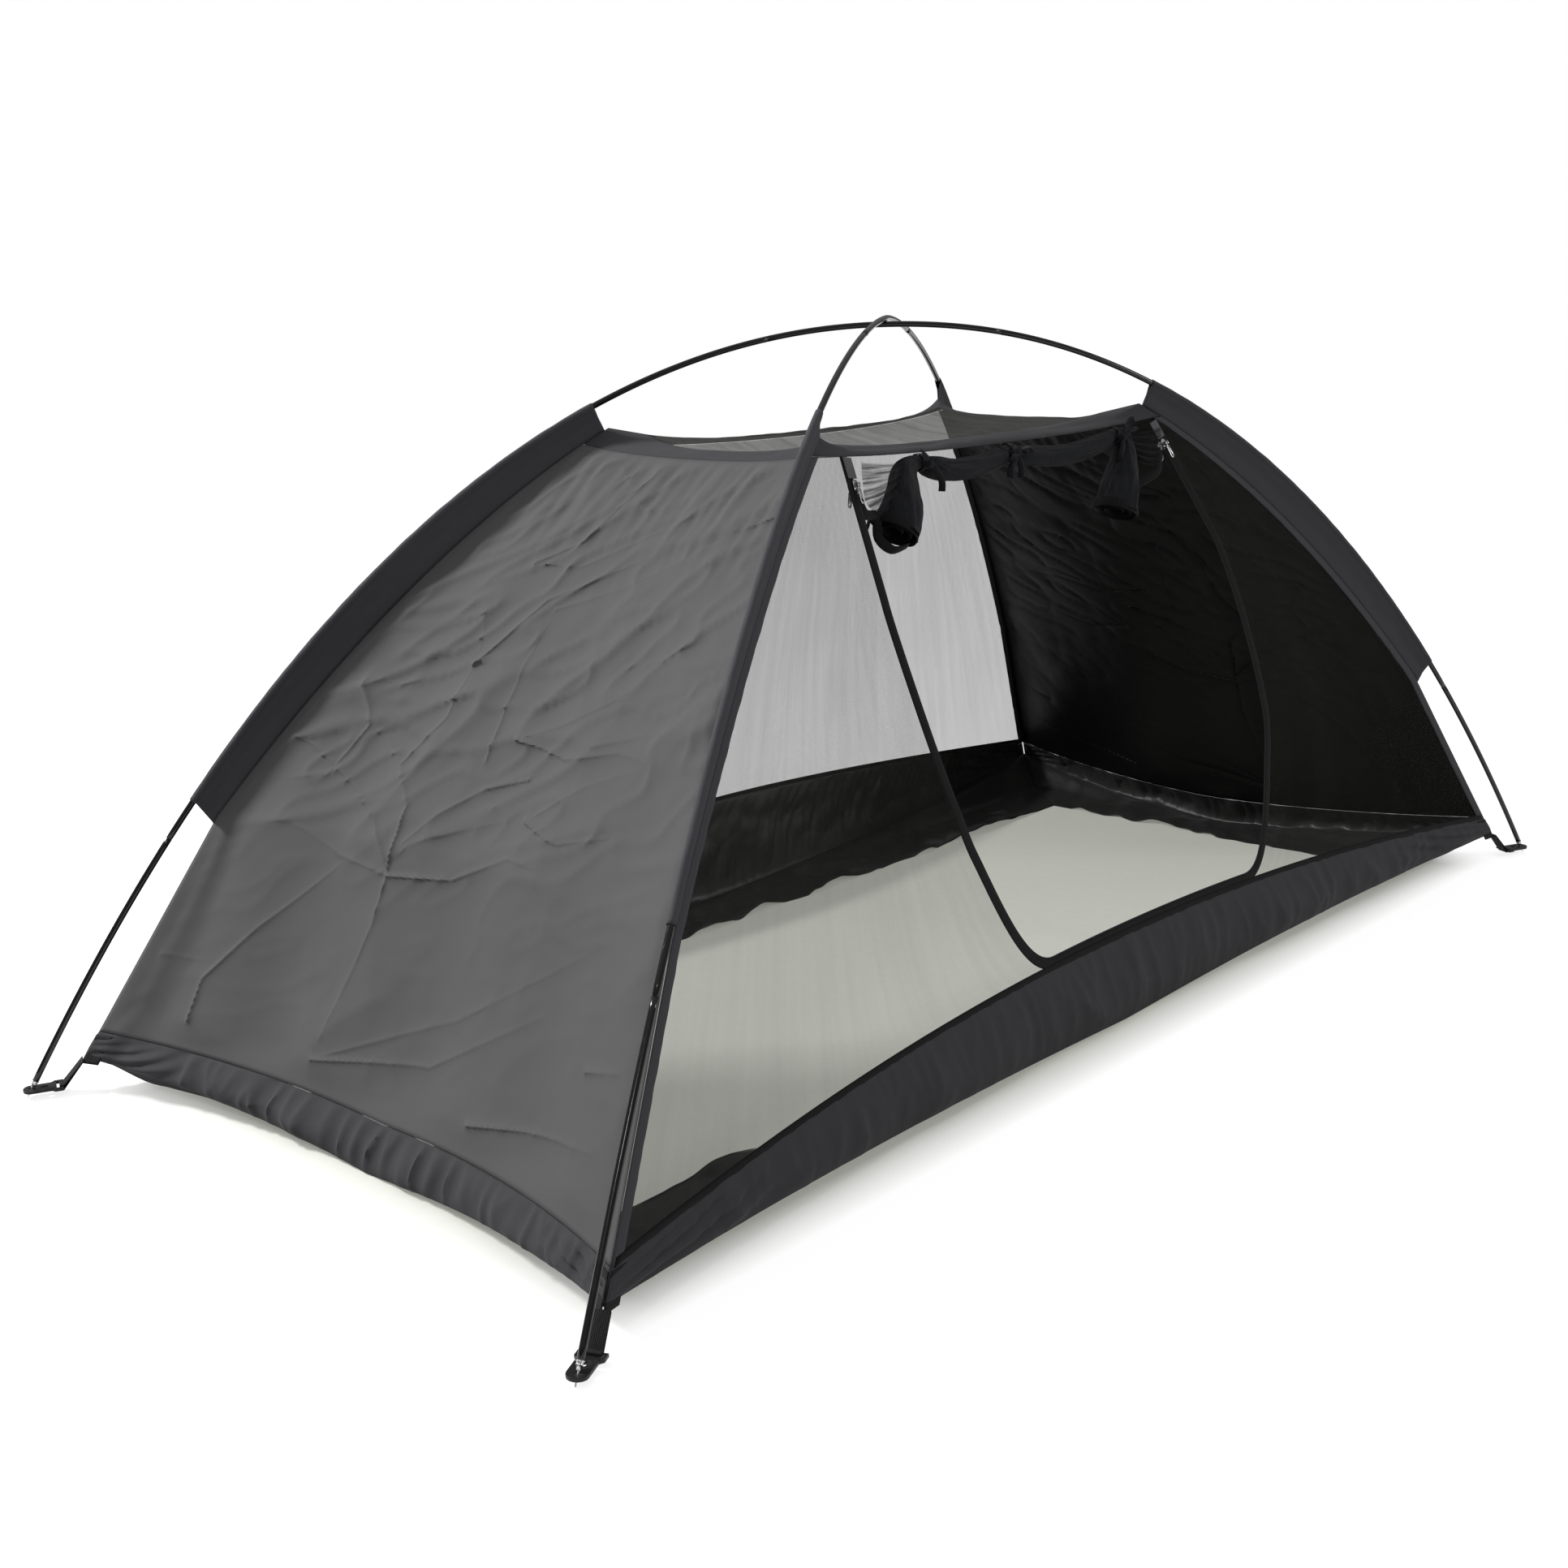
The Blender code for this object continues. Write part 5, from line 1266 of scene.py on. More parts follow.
def sleeve(corner, pole, first_half, finish, thickness):
    """Cloth folded round a pole, with both sides sewn together at the hip seam."""
    low = pole.mark_at_height(sleeve_low_height, first_half)
    high = pole.mark_at_height(sleeve_top_height, first_half)
    signs = corner_signs[corner]
    bore = tube_radius + sleeve_clearance
    arc = math.radians(sleeve_arc)

    def place(share, rise):
        mark = blend(low, high, rise)
        bite = 0.010 * smooth_step(0.06, 0.0, rise)
        centre, way = pole.centre(mark), pole.run(mark)
        place_at = pole.frame(mark)
        seam = hip_on_plane(centre, way, signs)
        seam = hip_point(seam.z - bite, signs)
        local = place_at.inverted() @ seam
        inward = local.xy.normalized()
        reach = local.xy.length + 0.0006
        turn = 2 * share - 1
        around = abs(turn)
        if around < 0.5:
            angle = arc * turn * 2
            flat = -inward * bore * math.cos(angle)
            flat += Vector((-inward.y, inward.x)) * bore * math.sin(angle)
            level = 0.0
        else:
            out = (around - 0.5) * 2
            start = bore * -math.cos(arc)
            half = blend(bore * math.sin(arc), 0.0009, smooth_step(0, 0.5, out))
            ripple = 0.0010 * noise.noise(Vector((mark * 22, out * 2, turn))) * math.sin(math.pi * out)
            flat = inward * blend(start, reach, out)
            flat += Vector((-inward.y, inward.x)) * math.copysign(half + ripple, turn)
            level = local.z * out
        puff = 0.0005 * noise.noise(Vector((mark * 45, turn * 4, signs[0] * 3)))
        flat *= 1 + puff / bore * (1 - around)
        return place_at @ Vector((flat.x, flat.y, level))
    bm = sheet_mesh(32, 150, place, (0.07, 0.92))
    face_outwards(bm, 0.00005)
    thing = piece(
        f"sleeve_{corner}", bm, finish, [f"pole_sleeve_{corner}"], thickness=thickness)


# Door zip


def bezier(start, first, second, end, steps):
    points = []
    for step in range(1, steps + 1):
        share = step / steps
        rest = 1 - share
        point = start * rest ** 3 + first * 3 * rest ** 2 * share
        point += second * 3 * rest * share ** 2 + end * share ** 3
        points.append(point)
    return points


def front_place(share, height):
    return Vector((share * half_span("front", height), height))


def door_centre(height):
    """Middle of the door at a height; the door leans further right towards the ground."""
    low = front_place(door_low_centre_share, corner_height).x
    return blend(low, front_place(door_centre_share, roof_side_height).x, height / roof_side_height)


def door_line(side, steps):
    """One side of the zip line in the front wall, from its top to its foot; side is -1 or 1."""
    top = front_place(door_top_share, roof_seam("front", door_top_share) - 0.0022)
    waist = front_place(door_waist_share, door_waist_height)
    knee = front_place(door_knee_share, door_knee_height)
    foot = front_place(door_foot_share, band_top("front", door_foot_share))
    place = door_centre(foot.y) + side * foot.x
    foot.y = band_top("front", share_at("front", place, band_top)) + zip_tape_width + 0.0005
    fall = (waist - top).normalized() * (waist.y - knee.y) / 3
    knee_way = Vector((foot.x - knee.x, -knee.y)).normalized()
    knee_pull = (knee.y - foot.y) / 2
    straight = [top.lerp(waist, step / steps) for step in range(steps)]
    upper = bezier(waist, waist + fall * 0.45, knee - knee_way * knee_pull * 0.9, knee, steps * 2)
    run_in = Vector(((knee.x - foot.x) / 2, 0))
    lower = bezier(knee, knee + knee_way * knee_pull, foot + run_in, foot, steps * 2)
    line = straight + [waist] + upper + lower
    return [Vector((door_centre(point.y) + side * point.x, point.y)) for point in line]


def zip_path(steps=16):
    """Points of the zip's bead from the top left, along the foot, to the top right."""
    left, right = door_line(-1, steps), door_line(1, steps)[::-1]
    middle = []
    count = steps * 2
    for step in range(1, count):
        x = blend(left[-1].x, right[0].x, step / count)
        height = band_top("front", share_at("front", x, band_top))
        middle.append(Vector((x, height + zip_tape_width + 0.0005)))
    straight = steps
    return [wall_point("front", point.x, point.y) for point in left + middle + right], straight


def front_normal(point):
    step = 0.0005
    here = wall_point("front", point.x, point.z)
    along = wall_point("front", point.x + step, point.z) - here
    up = wall_point("front", point.x, point.z + step) - here
    return along.cross(up).normalized()


def zip_frames():
    """Matrices along the zip: X across towards the door, Y out of the wall, Z along the zip."""
    points, straight = zip_path()
    last = len(points) - 1
    shares = [index / straight for index in range(straight + 1)]
    top_left = [points[0].lerp(points[straight], share) for share in shares]
    top_right = [points[last].lerp(points[last - straight], share) for share in shares]
    points[:straight + 1] = top_left
    points[last - straight:] = top_right[::-1]
    frames = []
    for index, point in enumerate(points):
        way = (points[min(last, index + 1)] - points[max(0, index - 1)]).normalized()
        out = front_normal(point)
        out = (out - way * out.dot(way)).normalized()
        matrix = Matrix((out.cross(way), out, way)).transposed().to_4x4()
        matrix.translation = point
        frames.append(matrix)
    return frames


def net_edge(frames, left):
    """Edge of a front net: up from the band seam, along the zip tape and on to the roof seam."""
    middle = len(frames) // 2
    leg = frames[:middle][::-1] if left else frames[middle:]
    outside = Vector((-zip_tape_width + 0.0010, 0, 0))
    edge = []
    for matrix in leg:
        point = matrix @ outside
        share = share_at("front", point.x, band_top)
        height = band_top("front", share)
        if point.z > height + 0.0035:
            if not edge:
                edge.append(wall_point("front", share * half_span("front", height), height))
            edge.append(point)
    edge[-1].z = roof_seam("front", share_at("front", edge[-1].x, roof_seam)) - net_seam_drop
    return edge


def lengths_along(frames):
    """Length of the zip from its start to each of its frames."""
    points = [matrix.translation for matrix in frames]
    lengths = [0.0]
    for before, after in zip(points, points[1:]):
        lengths.append(lengths[-1] + (after - before).length)
    return lengths


def strip_along(frames, section, size_up):
    """Strip that keeps one section, a list of (across, out), along the zip."""
    def place(share, rise):
        matrix = frames[round(rise * (len(frames) - 1))]
        across, out = section[round(share * (len(section) - 1))]
        return matrix @ Vector((across, out, 0))
    return sheet_mesh(len(section) - 1, len(frames) - 1, place, (size_up, lengths_along(frames)[-1]))


def resampled(frames, pitch):
    """Frames at an even spacing along the zip."""
    lengths = lengths_along(frames)
    made, index = [], 0
    count = int(lengths[-1] / pitch)
    for step in range(count + 1):
        mark = min(step * pitch, lengths[-1] - 0.00001)
        while lengths[index + 1] < mark:
            index += 1
        share = (mark - lengths[index]) / (lengths[index + 1] - lengths[index])
        made.append(frames[index].lerp(frames[index + 1], share))
    return made


def door_zip(frames, tape_finish, coil_finish):
    """Tape folded round the net's edge, and the coil along the door's edge."""
    half = tape_half_thickness
    width = zip_tape_width
    section = [
        (-0.0006, half), (-width * 0.3, half * 1.5), (-width * 0.5, half), (-width * 0.75, half * 1.4),
        (-width, half * 0.7), (-width - 0.0006, 0.0), (-width, -half), (-width * 0.5, -half),
        (-0.0006, -half), (0.0, 0.0),
    ]
    bm = strip_along(frames, section + section[:1], width)
    face_outwards(bm)
    tape = piece("door_tape", bm, tape_finish, ["door_zip_tape"])
    marks = resampled(frames, coil_pitch / 2)
    sides = 6

    def place(share, rise):
        index = round(rise * (len(marks) - 1))
        radius = zip_bead_height / 2 * (1.0 if index % 2 else 0.72)
        angle = 2 * math.pi * share
        lean = 0.0003 if index % 2 else 0.0
        across = 0.0005 + radius * math.cos(angle) * 1.1
        return marks[index] @ Vector((across, radius * math.sin(angle), lean))
    bm = sheet_mesh(sides, len(marks) - 1, place, (0.008, 2.6))
    face_outwards(bm)
    piece("door_coil", bm, coil_finish, (), smooth=False)


def build_sliders(metal):
    for label in ("left", "right"):
        softened(f"zip_slider_{label}", metal, f"slider_{label}", 0.00035)
        for face in ("outer", "inner"):
            softened(f"zip_pull_{face}_{label}", metal, f"pull_{face}_{label}", 0.0003)


def stop_tabs(finish):
    """Cloth patches over the tops of the zip, copied from the frame with their edges rounded."""
    for label in ("left", "right"):
        tab = softened(f"zip_stop_tab_{label}", finish, f"stop_tab_{label}", 0.0004)


# Rolled door


def roof_edge_point(x):
    return roof_loop("front", share_at("front", x, roof_seam), "outer")


tie_sides = 10


def tie_loop_radius():
    return (roll_neck_radius + 2 * seat_gap) / math.cos(math.pi / tie_sides)


def tie_centre(share):
    """Middle of a tie's loop, sewn on under the front roof edge."""
    hem_drop = net_seam_drop
    drop = tie_loop_radius() + tie_thickness + seat_gap + hem_drop
    return roof_edge_point(front_place(share, roof_side_height).x) - Vector((0, 0, drop))


def roll_end(share, side, lean, drop):
    """Stations of an end of the roll that hangs from an outer tie: point, half width, half depth."""
    start = tie_centre(share) + Vector((side * tie_width, 0, 0))
    end = start + Vector((lean, -roll_end_out, -drop))
    turn = Vector((side * roll_end_half_width, 0, 0))
    points = bezier(start, start + turn, end - Vector((lean, 0, -drop)) / 3, end, 10)
    stations = []
    for index, point in enumerate(points):
        spread = (index + 1) / len(points)
        width = blend(roll_neck_radius, roll_end_half_width, spread)
        depth = blend(roll_neck_radius, roll_end_half_depth, spread)
        stations.append((point, width, depth))
    return stations


def roll_stations():
    """Stations along the whole roll, and which of them lie at a tie."""
    neck = Vector((tie_width, 0, 0))
    stations = roll_end(tie_shares[0], -1, roll_left_lean, roll_left_drop)[::-1]
    for start, end in zip(tie_shares, tie_shares[1:]):
        low, high = tie_centre(start), tie_centre(end)
        stations += [(low - neck, roll_neck_radius, roll_neck_radius)]
        stations += [(low + neck, roll_neck_radius, roll_neck_radius)]
        for step in range(1, 12):
            share = step / 12
            belly = math.sin(math.pi * share)
            radius = blend(roll_neck_radius, roll_body_radius, belly ** 0.5)
            drop = roll_sag * belly + radius - roll_neck_radius
            stations.append((low.lerp(high, share) - Vector((0, 0, drop)), radius, radius))
    stations += [(high - neck, roll_neck_radius, roll_neck_radius)]
    stations += [(high + neck, roll_neck_radius, roll_neck_radius)]
    return stations + roll_end(tie_shares[2], 1, roll_right_lean, roll_right_drop)


def rolled_door(finish):
    """The open door, rolled up and gathered, with both ends hanging down from the outer ties."""
    stations = roll_stations()
    middles = [middle for middle, _, _ in stations]
    sizes = [Vector((width, depth, 0)) for _, width, depth in stations]
    steps = (len(stations) - 1) * 6

    def place(share, rise):
        middle = along_curve(middles, rise)
        size = along_curve(sizes, rise)
        way = way_along(middles, rise, 0.006)
        out = Vector((0, -1, 0))
        out = (out - way * out.dot(way)).normalized()
        up = out.cross(way)
        angle = 2 * math.pi * share
        spot = Vector((math.cos(angle) * 1.6, math.sin(angle) * 1.6, rise * 9))
        fold = noise.noise(spot) * 0.30 + noise.noise(spot * 2.6) * 0.16
        loose = smooth_step(roll_neck_radius, roll_body_radius, size.x)
        swell = 1 + (fold - 0.06) * (0.25 + 0.5 * loose)
        rim = up * size.x * swell * math.cos(angle)
        return middle + rim + out * size.y * swell * math.sin(angle)
    bm = sheet_mesh(56, steps, place, (0.09, 1.0))
    face_outwards(bm)
    piece("door_roll", bm, finish, ["rolled_door"], thickness=0.0006)


def ribbon(bm, points, width, lean=None, twist=0.0):
    """Flat strip of cloth along a curve, a little cupped, added to a mesh under construction."""
    steps = (len(points) - 1) * 5

    def place(share, rise):
        middle = along_curve(points, rise)
        way = way_along(points, rise, 0.02)
        flat = (lean or Vector((0, -1, 0))).cross(way).normalized()
        out = way.cross(flat)
        turn = twist * rise
        cosine, sine = math.cos(turn), math.sin(turn)
        flat, out = flat * cosine + out * sine, out * cosine - flat * sine
        across = 2 * share - 1
        cup = 0.18 * width * across ** 2 * math.sin(math.pi * rise)
        return middle + flat * width / 2 * across - out * cup
    return sheet_mesh(6, steps, place, (width, 0.1), bm)


def knot(bm, centre, size):
    """Crumpled ball of cloth."""
    made = bmesh.ops.create_icosphere(bm, subdivisions=3, radius=1.0)
    for vert in made["verts"]:
        spot = vert.co.copy()
        fold = 1 + 0.34 * noise.noise(spot * 2.1 + centre * 40) + 0.14 * noise.noise(spot * 5)
        vert.co = centre + Vector((spot.x * size[0], spot.y * size[1], spot.z * size[2])) * fold


def tie(label, share, tails, loops, finish):
    """Ribbon round the rolled door with a knot in front, tails and bow loops."""
    centre = tie_centre(share)
    bm = bmesh.new()
    bm.loops.layers.uv.new("cloth")
    inner = tie_loop_radius()
    outer = inner + tie_thickness

    def band(share, rise):
        angle = 2 * math.pi * share
        pinch = 1 - 0.35 * smooth_step(0.4, 1.0, -math.sin(angle))
        wave = 1 + 0.03 * noise.noise(Vector((math.cos(angle) * 3, math.sin(angle) * 3, 0)))
        radius = (inner + outer) / 2 * wave
        across = tie_width * pinch * (rise - 0.5)
        return centre + Vector((across, radius * math.sin(angle), radius * math.cos(angle)))
    sheet_mesh(40, 6, band, (0.08, 0.01), bm)
    front = centre + Vector((0, -outer - 0.004, 0))
    knot(bm, front, (0.0085, 0.0060, 0.0080))
    for points in tails:
        ribbon(bm, places_from(front, *points), tail_width, twist=0.9)
    lean = Vector((0.3, -0.2, 1))
    for points in loops:
        ribbon(bm, places_from(front, *points), loop_width, lean, twist=0.4)
    face_outwards(bm)
    thing = piece(f"tie_{label}", bm, finish, [f"door_tie_{label}"], thickness=0.0007)


def build_ties(finish):
    tie("left", tie_shares[0], (
        ((0, 0, 0), (0.010, -0.006, -0.010), (0.022, -0.006, -0.026), (0.024, -0.004, -0.040)),
        ((0, 0, 0), (0.014, -0.005, 0.001), (0.030, -0.004, -0.006), (0.046, -0.001, -0.012)),
        ((0, 0, 0), (-0.006, -0.004, 0.008), (-0.014, -0.003, 0.016), (-0.018, 0.000, 0.020)),
    ), (), finish)
    tie("middle", tie_shares[1], (
        ((0, 0, 0), (-0.008, -0.004, -0.010), (-0.018, -0.004, -0.020), (-0.020, -0.003, -0.034)),
        ((0, 0, 0), (0.004, -0.004, -0.012), (0.006, -0.005, -0.024), (0.004, -0.004, -0.036)),
    ), (
        ((0, 0, 0), (0.012, -0.006, 0.006), (0.026, -0.006, 0.006), (0.030, -0.004, 0.000),
         (0.018, -0.002, -0.004), (0, 0, 0)),
        ((0, 0, 0), (-0.010, -0.005, -0.002), (-0.020, -0.006, -0.008), (-0.018, -0.003, -0.014),
         (0, 0, -0.002)),
    ), finish)
    tie("right", tie_shares[2], (
        ((0, 0, 0), (-0.004, -0.005, -0.014), (-0.012, -0.006, -0.026), (-0.014, -0.004, -0.036)),
        ((0, 0, 0), (0.012, -0.005, 0.004), (0.024, -0.005, 0.008), (0.036, -0.002, 0.006)),
    ), (
        ((0, 0, 0), (0.004, -0.005, 0.014), (0.014, -0.006, 0.027), (0.022, -0.004, 0.026),
         (0.014, -0.002, 0.010), (0, 0, 0)),
    ), finish)


def roll_spiral(label, station, way, finish):
    """Edge tape wound in a flat spiral at an end of the roll."""
    middle, width, depth = station
    out = Vector((0, -1, 0))
    out = (out - way * out.dot(way)).normalized()
    up = out.cross(way)
    turns = 2.6

    def place(share, rise):
        angle = 2 * math.pi * turns * rise + 0.6
        size = blend(0.28, 1.07, rise ** 0.85)
        side = 2 * math.pi * share
        wobble = 1 + 0.05 * noise.noise(Vector((math.cos(angle) * 2, math.sin(angle) * 2, rise * 3)))
        thick = 0.0009
        radius_up, radius_out = width * size * wobble, depth * size * wobble
        spot = up * math.cos(angle) * (radius_up + thick * math.sin(side))
        spot += out * math.sin(angle) * (radius_out + thick * math.sin(side))
        reach = 0.007 * math.cos(side) - 0.004 * (1 - rise)
        return middle + spot + way * reach
    bm = sheet_mesh(10, 170, place, (0.014, 0.4))
    face_outwards(bm)
    thing = piece(f"roll_end_{label}", bm, finish, ())


def door_fan(label, apex, edge, finish, pleats, seed):
    """Loose net from the top of a zip that gathers into pleats at a tie."""
    def place(rise, share):
        start = along_curve(edge, share)
        point = start.lerp(apex, rise)
        sag = 0.010 * math.sin(math.pi * rise) * (0.3 + share)
        pleat = math.sin(2 * math.pi * pleats * share + seed)
        fold = 0.0035 * math.sin(math.pi * min(1, rise * 1.3)) * pleat
        narrow = (share - 0.5) * 0.008 * rise
        return point + Vector((0, -fold, -sag - narrow))
    bm = sheet_mesh(30, 60, place, (0.12, 0.10))
    thing = piece(f"door_fan_{label}", bm, finish, ())


def door_edge_tape(label, points, finish):
    """Edge tape of the door between the top of the zip and the roll."""
    bm = bmesh.new()
    ribbon(bm, points, edge_tape_width, twist=0.8)
    face_outwards(bm)
    strip = piece(
        f"door_edge_tape_{label}", bm, finish, (), thickness=edge_tape_thickness)


def build_roll_ends(tape, fan_finish):
    """Wound tape, loose net and edge tape at both ends of the rolled door."""
    stations = roll_stations()
    left_roll, right_roll = stations[0][0], stations[-1][0]
    roll_spiral("left", stations[0], (left_roll - stations[2][0]).normalized(), tape)
    roll_spiral("right", stations[-1], (right_roll - stations[-3][0]).normalized(), tape)

    low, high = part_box("zip_slider_left")
    left_slider = (low + high) / 2
    edge = places_from(
        left_slider, (0.012, -0.002, 0.030), (0.012, -0.004, 0.006), (0.014, -0.008, -0.022))
    edge += places_from(left_roll, (-0.034, -0.004, 0.024), (-0.020, -0.006, 0.032))
    apex = tie_centre(tie_shares[0]) + Vector((-0.006, -0.004, 0.0))
    door_fan("left", apex, edge, fan_finish, 7, 0.4)

    low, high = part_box("zip_slider_right")
    right_slider = (low + high) / 2
    edge = places_from(
        right_slider, (-0.012, -0.002, 0.028), (-0.012, -0.003, 0.004), (-0.016, -0.006, -0.016),
        (-0.030, -0.008, -0.030))
    apex = tie_centre(tie_shares[2]) + Vector((0.008, -0.004, -0.002))
    door_fan("right", apex, edge, fan_finish, 5, 1.4)

    route = places_from(left_slider, (0.006, 0.0, -0.010), (0.014, -0.006, -0.036))
    route += places_from(
        left_roll, (-0.040, -0.002, 0.022), (-0.036, -0.002, -0.006), (-0.016, -0.010, -0.024),
        (0.010, -0.014, -0.020))
    door_edge_tape("left", route, tape)
    route = places_from(
        right_slider, (-0.006, 0.0, -0.008), (-0.018, -0.006, -0.024), (-0.036, -0.010, -0.040))
    route += places_from(right_roll, (0.030, -0.006, 0.030))
    door_edge_tape("right", route, tape)


# Stage


def build_stage(sizes, colours):
    bm = bmesh.new()
    bmesh.ops.create_grid(bm, x_segments=8, y_segments=8, size=sizes.floor)
    mesh = bpy.data.meshes.new("stage_floor")
    bm.to_mesh(mesh)
    bm.free()
    mesh.materials.append(stage_floor("stage_floor", colours.floor))
    floor = bpy.data.objects.new("stage_floor", mesh)
    bpy.context.collection.objects.link(floor)

    world = bpy.data.worlds.new("studio")
    bpy.context.scene.world = world
    world.use_nodes = True
    tree = world.node_tree
    ground = tree.nodes["Background"]
    ground.inputs["Color"].default_value = (1.0, 1.0, 1.0, 1)
    around = tree.nodes.new("ShaderNodeTexCoord")
    split = tree.nodes.new("ShaderNodeSeparateXYZ")
    height = tree.nodes.new("ShaderNodeMapRange")
    height.inputs["To Min"].default_value = world_low_strength
    height.inputs["To Max"].default_value = world_high_strength
    tree.links.new(around.outputs["Generated"], split.inputs[0])
    tree.links.new(split.outputs["Z"], height.inputs["Value"])
    tree.links.new(height.outputs[0], ground.inputs["Strength"])
    seen = tree.nodes.new("ShaderNodeBackground")
    seen.inputs["Color"].default_value = (1, 1, 1, 1)
    seen.inputs["Strength"].default_value = 1.0
    rays = tree.nodes.new("ShaderNodeLightPath")
    pick = tree.nodes.new("ShaderNodeMixShader")
    tree.links.new(rays.outputs["Is Camera Ray"], pick.inputs[0])
    tree.links.new(ground.outputs[0], pick.inputs[1])
    tree.links.new(seen.outputs[0], pick.inputs[2])
    tree.links.new(pick.outputs[0], tree.nodes["World Output"].inputs["Surface"])

    for values in lamps:
        lamp(*values)

    view = bpy.data.cameras.new("photo_view")
    view.sensor_width = view_sensor
    view.lens = view_lens
    camera = bpy.data.objects.new("photo_view", view)
    bpy.context.collection.objects.link(camera)
    yaw, pitch, roll = (math.radians(angle) for angle in (view_yaw, view_pitch, view_roll))
    forward = Vector((math.sin(yaw) * math.cos(pitch), math.cos(yaw) * math.cos(pitch), -math.sin(pitch)))
    level = Vector((math.cos(yaw), -math.sin(yaw), 0))
    up = level.cross(forward)
    right = level * math.cos(roll) + up * math.sin(roll)
    above = up * math.cos(roll) - level * math.sin(roll)
    place = Matrix((right, above, -forward)).transposed().to_4x4()
    place.translation = Vector(view_place)
    camera.matrix_world = place
    bpy.context.scene.camera = camera
    bpy.context.scene.view_settings.view_transform = "Standard"


def lamp(name, place, target, size, power):
    light = bpy.data.lights.new(name, "AREA")
    light.shape = "RECTANGLE"
    light.size, light.size_y = size, size * lamp_height_share
    light.energy = power
    thing = bpy.data.objects.new(name, light)
    bpy.context.collection.objects.link(thing)
    thing.location = place
    thing.rotation_mode = "QUATERNION"
    thing.rotation_quaternion = (Vector(target) - Vector(place)).to_track_quat("-Z", "Y")


# Operators


def cloth_finish(name, color, roughness, sheen, gloss=0.2, crumples=0.0):
    made = bpy.data.materials.get(name)
    return made or coated_cloth(name, color, roughness, sheen, gloss, crumples)


# Inside face of the end cloths: a far darker copy of the end cloth, painted shade for the dim inside of the
# tent
def painted_shade_inside_finish():
    return cloth_finish("inside_cloth_painted_shade", (0.0050, 0.0050, 0.0051), 0.50, 0.01, 0.10)


def tape_finish(colours):
    return bpy.data.materials.get("black_tape") or ribbed_tape("black_tape", colours.tape)


class TENT_OT_poles(bpy.types.Operator):
    """Both poles as smooth tube sections, with their steel tips"""

    bl_idname = "tent.poles"
    bl_label = "Poles"

    def execute(self, context):
        build_poles(context.scene.tent_colours)
        return {"FINISHED"}


class TENT_OT_corners(bpy.types.Operator):
    """Corner plates and the webbing straps that hold the tent to them"""

    bl_idname = "tent.corners"
    bl_label = "Corner plates and straps"

    def execute(self, context):
        build_corners()
        return {"FINISHED"}


class TENT_OT_ends(bpy.types.Operator):
    """The two closed ends of crumpled cloth"""

    bl_idname = "tent.ends"
    bl_label = "End cloths"

    def execute(self, context):
        sizes, colours = context.scene.tent_sizes, context.scene.tent_colours
        finish = cloth_finish("end_cloth", colours.end_cloth, 0.38, 0.03, 0.42, 26.0)
        for wall in ("left", "right"):
            end_cloth(wall, finish, painted_shade_inside_finish(), sizes.crease, sizes.cloth)
        return {"FINISHED"}


class TENT_OT_nets(bpy.types.Operator):
    """Nets of the back, the front and the roof"""

    bl_idname = "tent.nets"
    bl_label = "Nets"

    def execute(self, context):
        sizes, colours = context.scene.tent_sizes, context.scene.tent_colours
        back_net(net_cloth("back_net", colours.net, colours.side_cover, sizes.mesh_pitch, 0.12))
        front = net_cloth("front_net", colours.net, colours.front_cover, sizes.mesh_pitch, 0.16)
        frames = zip_frames()
        for label in ("left", "right"):
            front_net(label, front, frames)
        roof_net(net_cloth("roof_net", colours.net, colours.roof_cover, sizes.mesh_pitch, 0.5))
        return {"FINISHED"}


class TENT_OT_bands(bpy.types.Operator):
    """Roof band, base bands with their skirts, and the tapes over their seams"""

    bl_idname = "tent.bands"
    bl_label = "Bands and tapes"

    def execute(self, context):
        sizes, colours = context.scene.tent_sizes, context.scene.tent_colours
        finish = cloth_finish("band_cloth", colours.band_cloth, 0.32, 0.04, 0.50, 34.0)
        roof_band(finish, sizes.cloth)
        # Inside face of the base bands: a lighter copy of the band cloth, painted light for the dim inside of
        # the tent
        inside = cloth_finish("band_inside_painted_light", (0.046, 0.046, 0.045), 0.34, 0.02, 0.50)
        for wall in ("front", "back", "left", "right"):
            base_band(wall, finish, inside, sizes.cloth)
        tape = tape_finish(colours)
        seam_tape("seam_tape_front", "front", tape, sizes.hem)
        seam_tape("seam_tape_back", "back", tape, sizes.hem)
        return {"FINISHED"}


class TENT_OT_sleeves(bpy.types.Operator):
    """Pole sleeves and the strips of cloth beside the nets at the hips"""

    bl_idname = "tent.sleeves"
    bl_label = "Sleeves"

    def execute(self, context):
        sizes, colours = context.scene.tent_sizes, context.scene.tent_colours
        finish = cloth_finish("sleeve_cloth", colours.sleeve_cloth, 0.46, 0.05, 0.25)
        for pole, ends in poles.values():
            for corner, first_half in zip(ends, (True, False)):
                sleeve(corner, pole, first_half, finish, sizes.cloth)
        for corner in corner_signs:
            wall = "front" if corner.startswith("front") else "back"
            hip_tape(corner, finish, sizes.hip_tape, wall)
        return {"FINISHED"}


class TENT_OT_zip(bpy.types.Operator):
    """Door zip with its tape, coil, sliders, pulls and stop tabs"""

    bl_idname = "tent.zip"
    bl_label = "Door zip"

    def execute(self, context):
        colours = context.scene.tent_colours
        tape = tape_finish(colours)
        door_zip(zip_frames(), tape, ribbed_tape("zip_coil", (0.016, 0.016, 0.018), 0.0019))
        build_sliders(bright_metal("zip_metal", (0.50, 0.50, 0.52)))
        stop_tabs(cloth_finish("tab_cloth", (0.10, 0.10, 0.11), 0.5, 0.3))
        return {"FINISHED"}


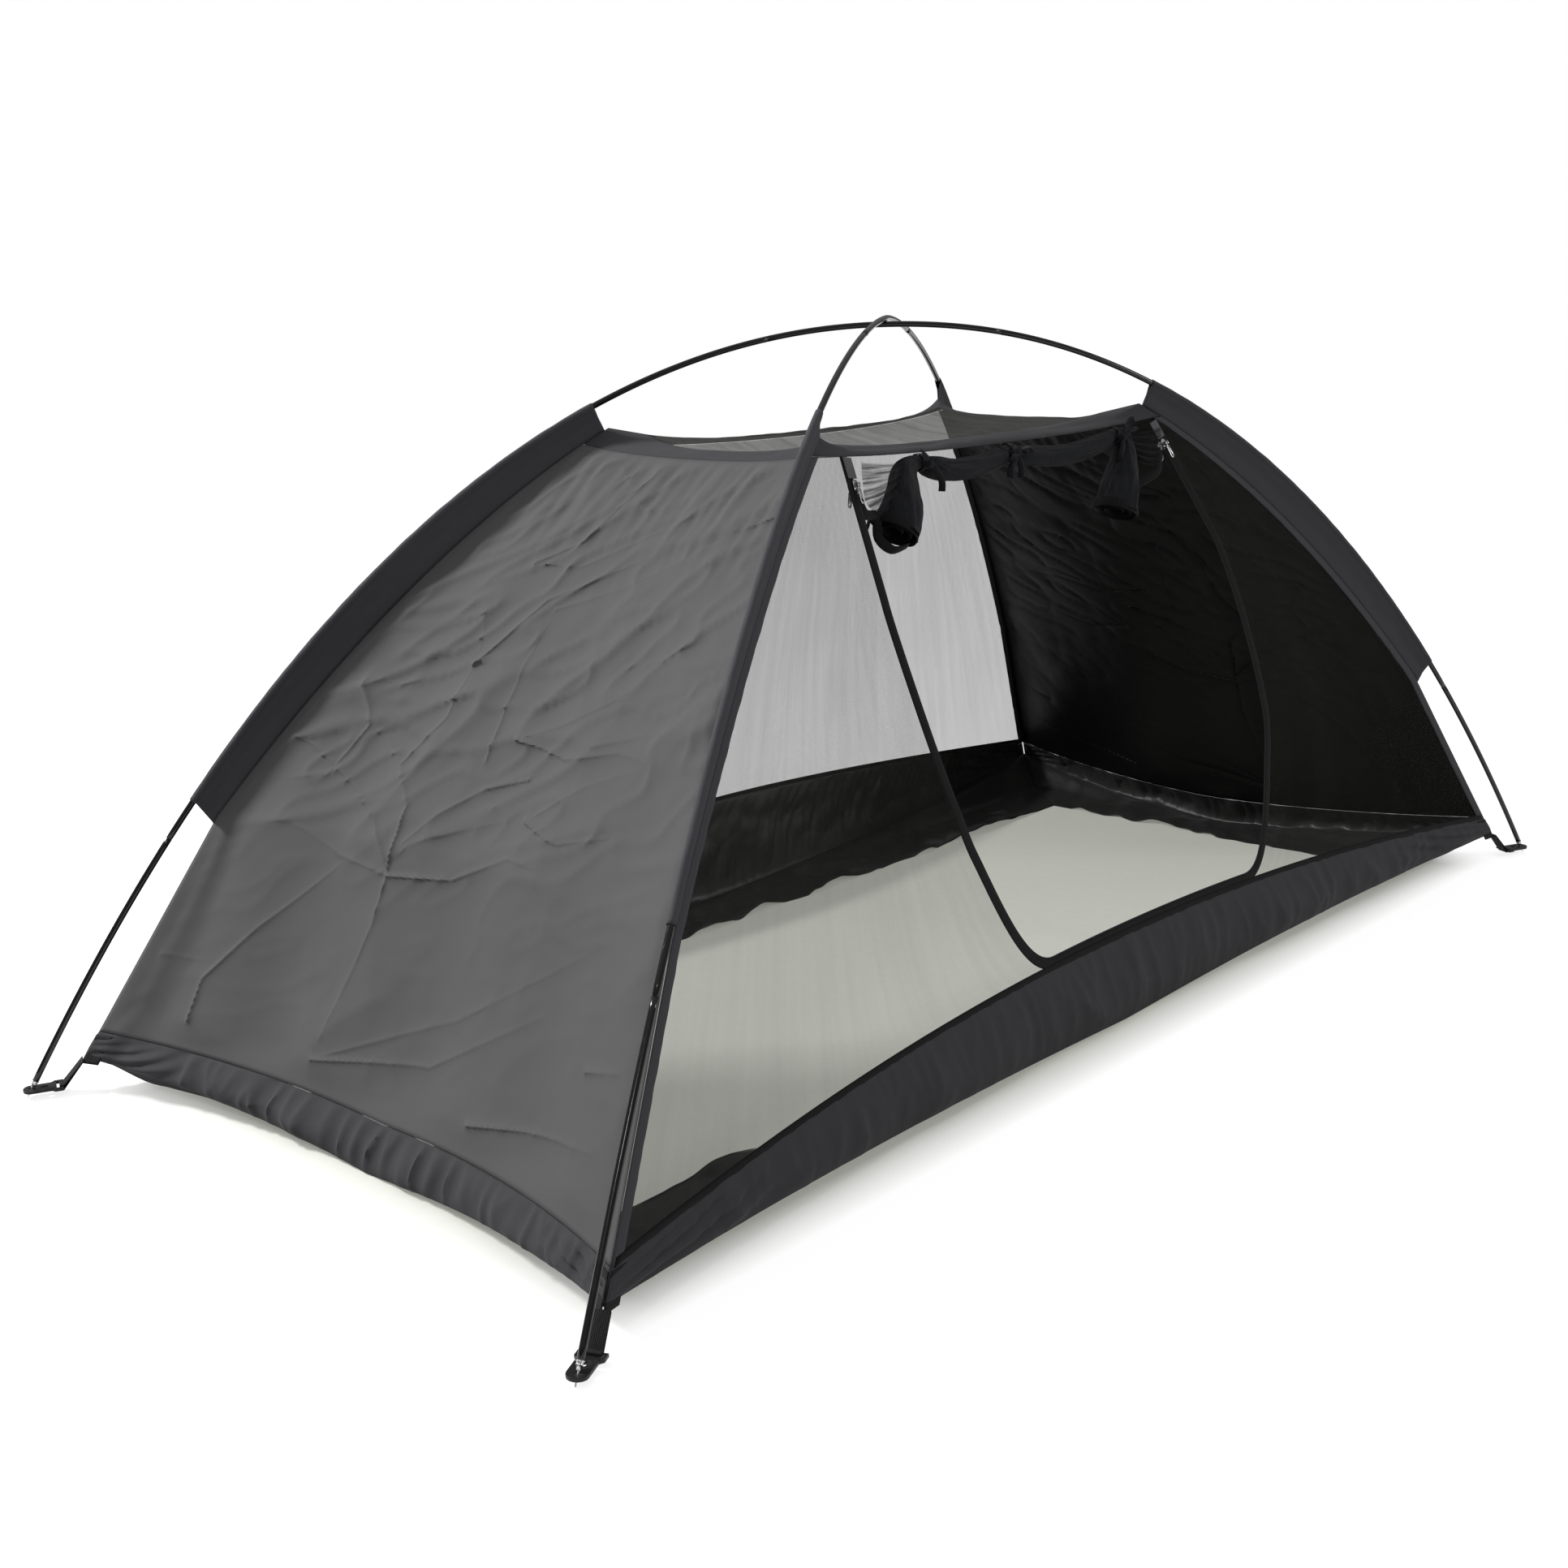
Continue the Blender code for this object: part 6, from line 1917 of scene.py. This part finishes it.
class TENT_OT_door(bpy.types.Operator):
    """The rolled door under the roof edge with its ties, loose net and edge tape"""

    bl_idname = "tent.door"
    bl_label = "Rolled door"

    def execute(self, context):
        colours = context.scene.tent_colours
        tape = tape_finish(colours)
        net = rolled_net("rolled_net", (0.0085, 0.0090, 0.0115))
        rolled_door(net)
        build_ties(rolled_net("tie_net", (0.0070, 0.0075, 0.0100)))
        build_roll_ends(tape, rolled_net("loose_net", (0.010, 0.010, 0.012), 0.45))
        return {"FINISHED"}


class TENT_OT_stage(bpy.types.Operator):
    """Pale floor, plain studio light and the camera"""

    bl_idname = "tent.stage"
    bl_label = "Stage"

    def execute(self, context):
        build_stage(context.scene.tent_sizes, context.scene.tent_colours)
        return {"FINISHED"}


operators = (
    TENT_OT_poles, TENT_OT_corners, TENT_OT_ends, TENT_OT_nets, TENT_OT_bands, TENT_OT_sleeves, TENT_OT_zip,
    TENT_OT_door, TENT_OT_stage,
)


class TENT_PT_panel(bpy.types.Panel):
    """Steps that make the tent, with its sizes and colours"""

    bl_idname = "TENT_PT_panel"
    bl_label = "Net Tent"
    bl_space_type = "VIEW_3D"
    bl_region_type = "UI"
    bl_category = "Net Tent"

    def draw(self, context):
        for group in (context.scene.tent_sizes, context.scene.tent_colours):
            for key in group.__annotations__:
                self.layout.prop(group, key)
        for operator in operators:
            self.layout.operator(operator.bl_idname)


classes = (TentSizes, TentColours, *operators, TENT_PT_panel)


def register():
    for item in classes:
        bpy.utils.register_class(item)
    bpy.types.Scene.tent_sizes = PointerProperty(type=TentSizes)
    bpy.types.Scene.tent_colours = PointerProperty(type=TentColours)


def unregister():
    del bpy.types.Scene.tent_colours
    del bpy.types.Scene.tent_sizes
    for item in reversed(classes):
        bpy.utils.unregister_class(item)


def main():
    register()
    bpy.ops.tent.poles()
    bpy.ops.tent.corners()
    bpy.ops.tent.ends()
    bpy.ops.tent.nets()
    bpy.ops.tent.bands()
    bpy.ops.tent.sleeves()
    bpy.ops.tent.zip()
    bpy.ops.tent.door()
    bpy.ops.tent.stage()


if __name__ == "__main__":
    main()
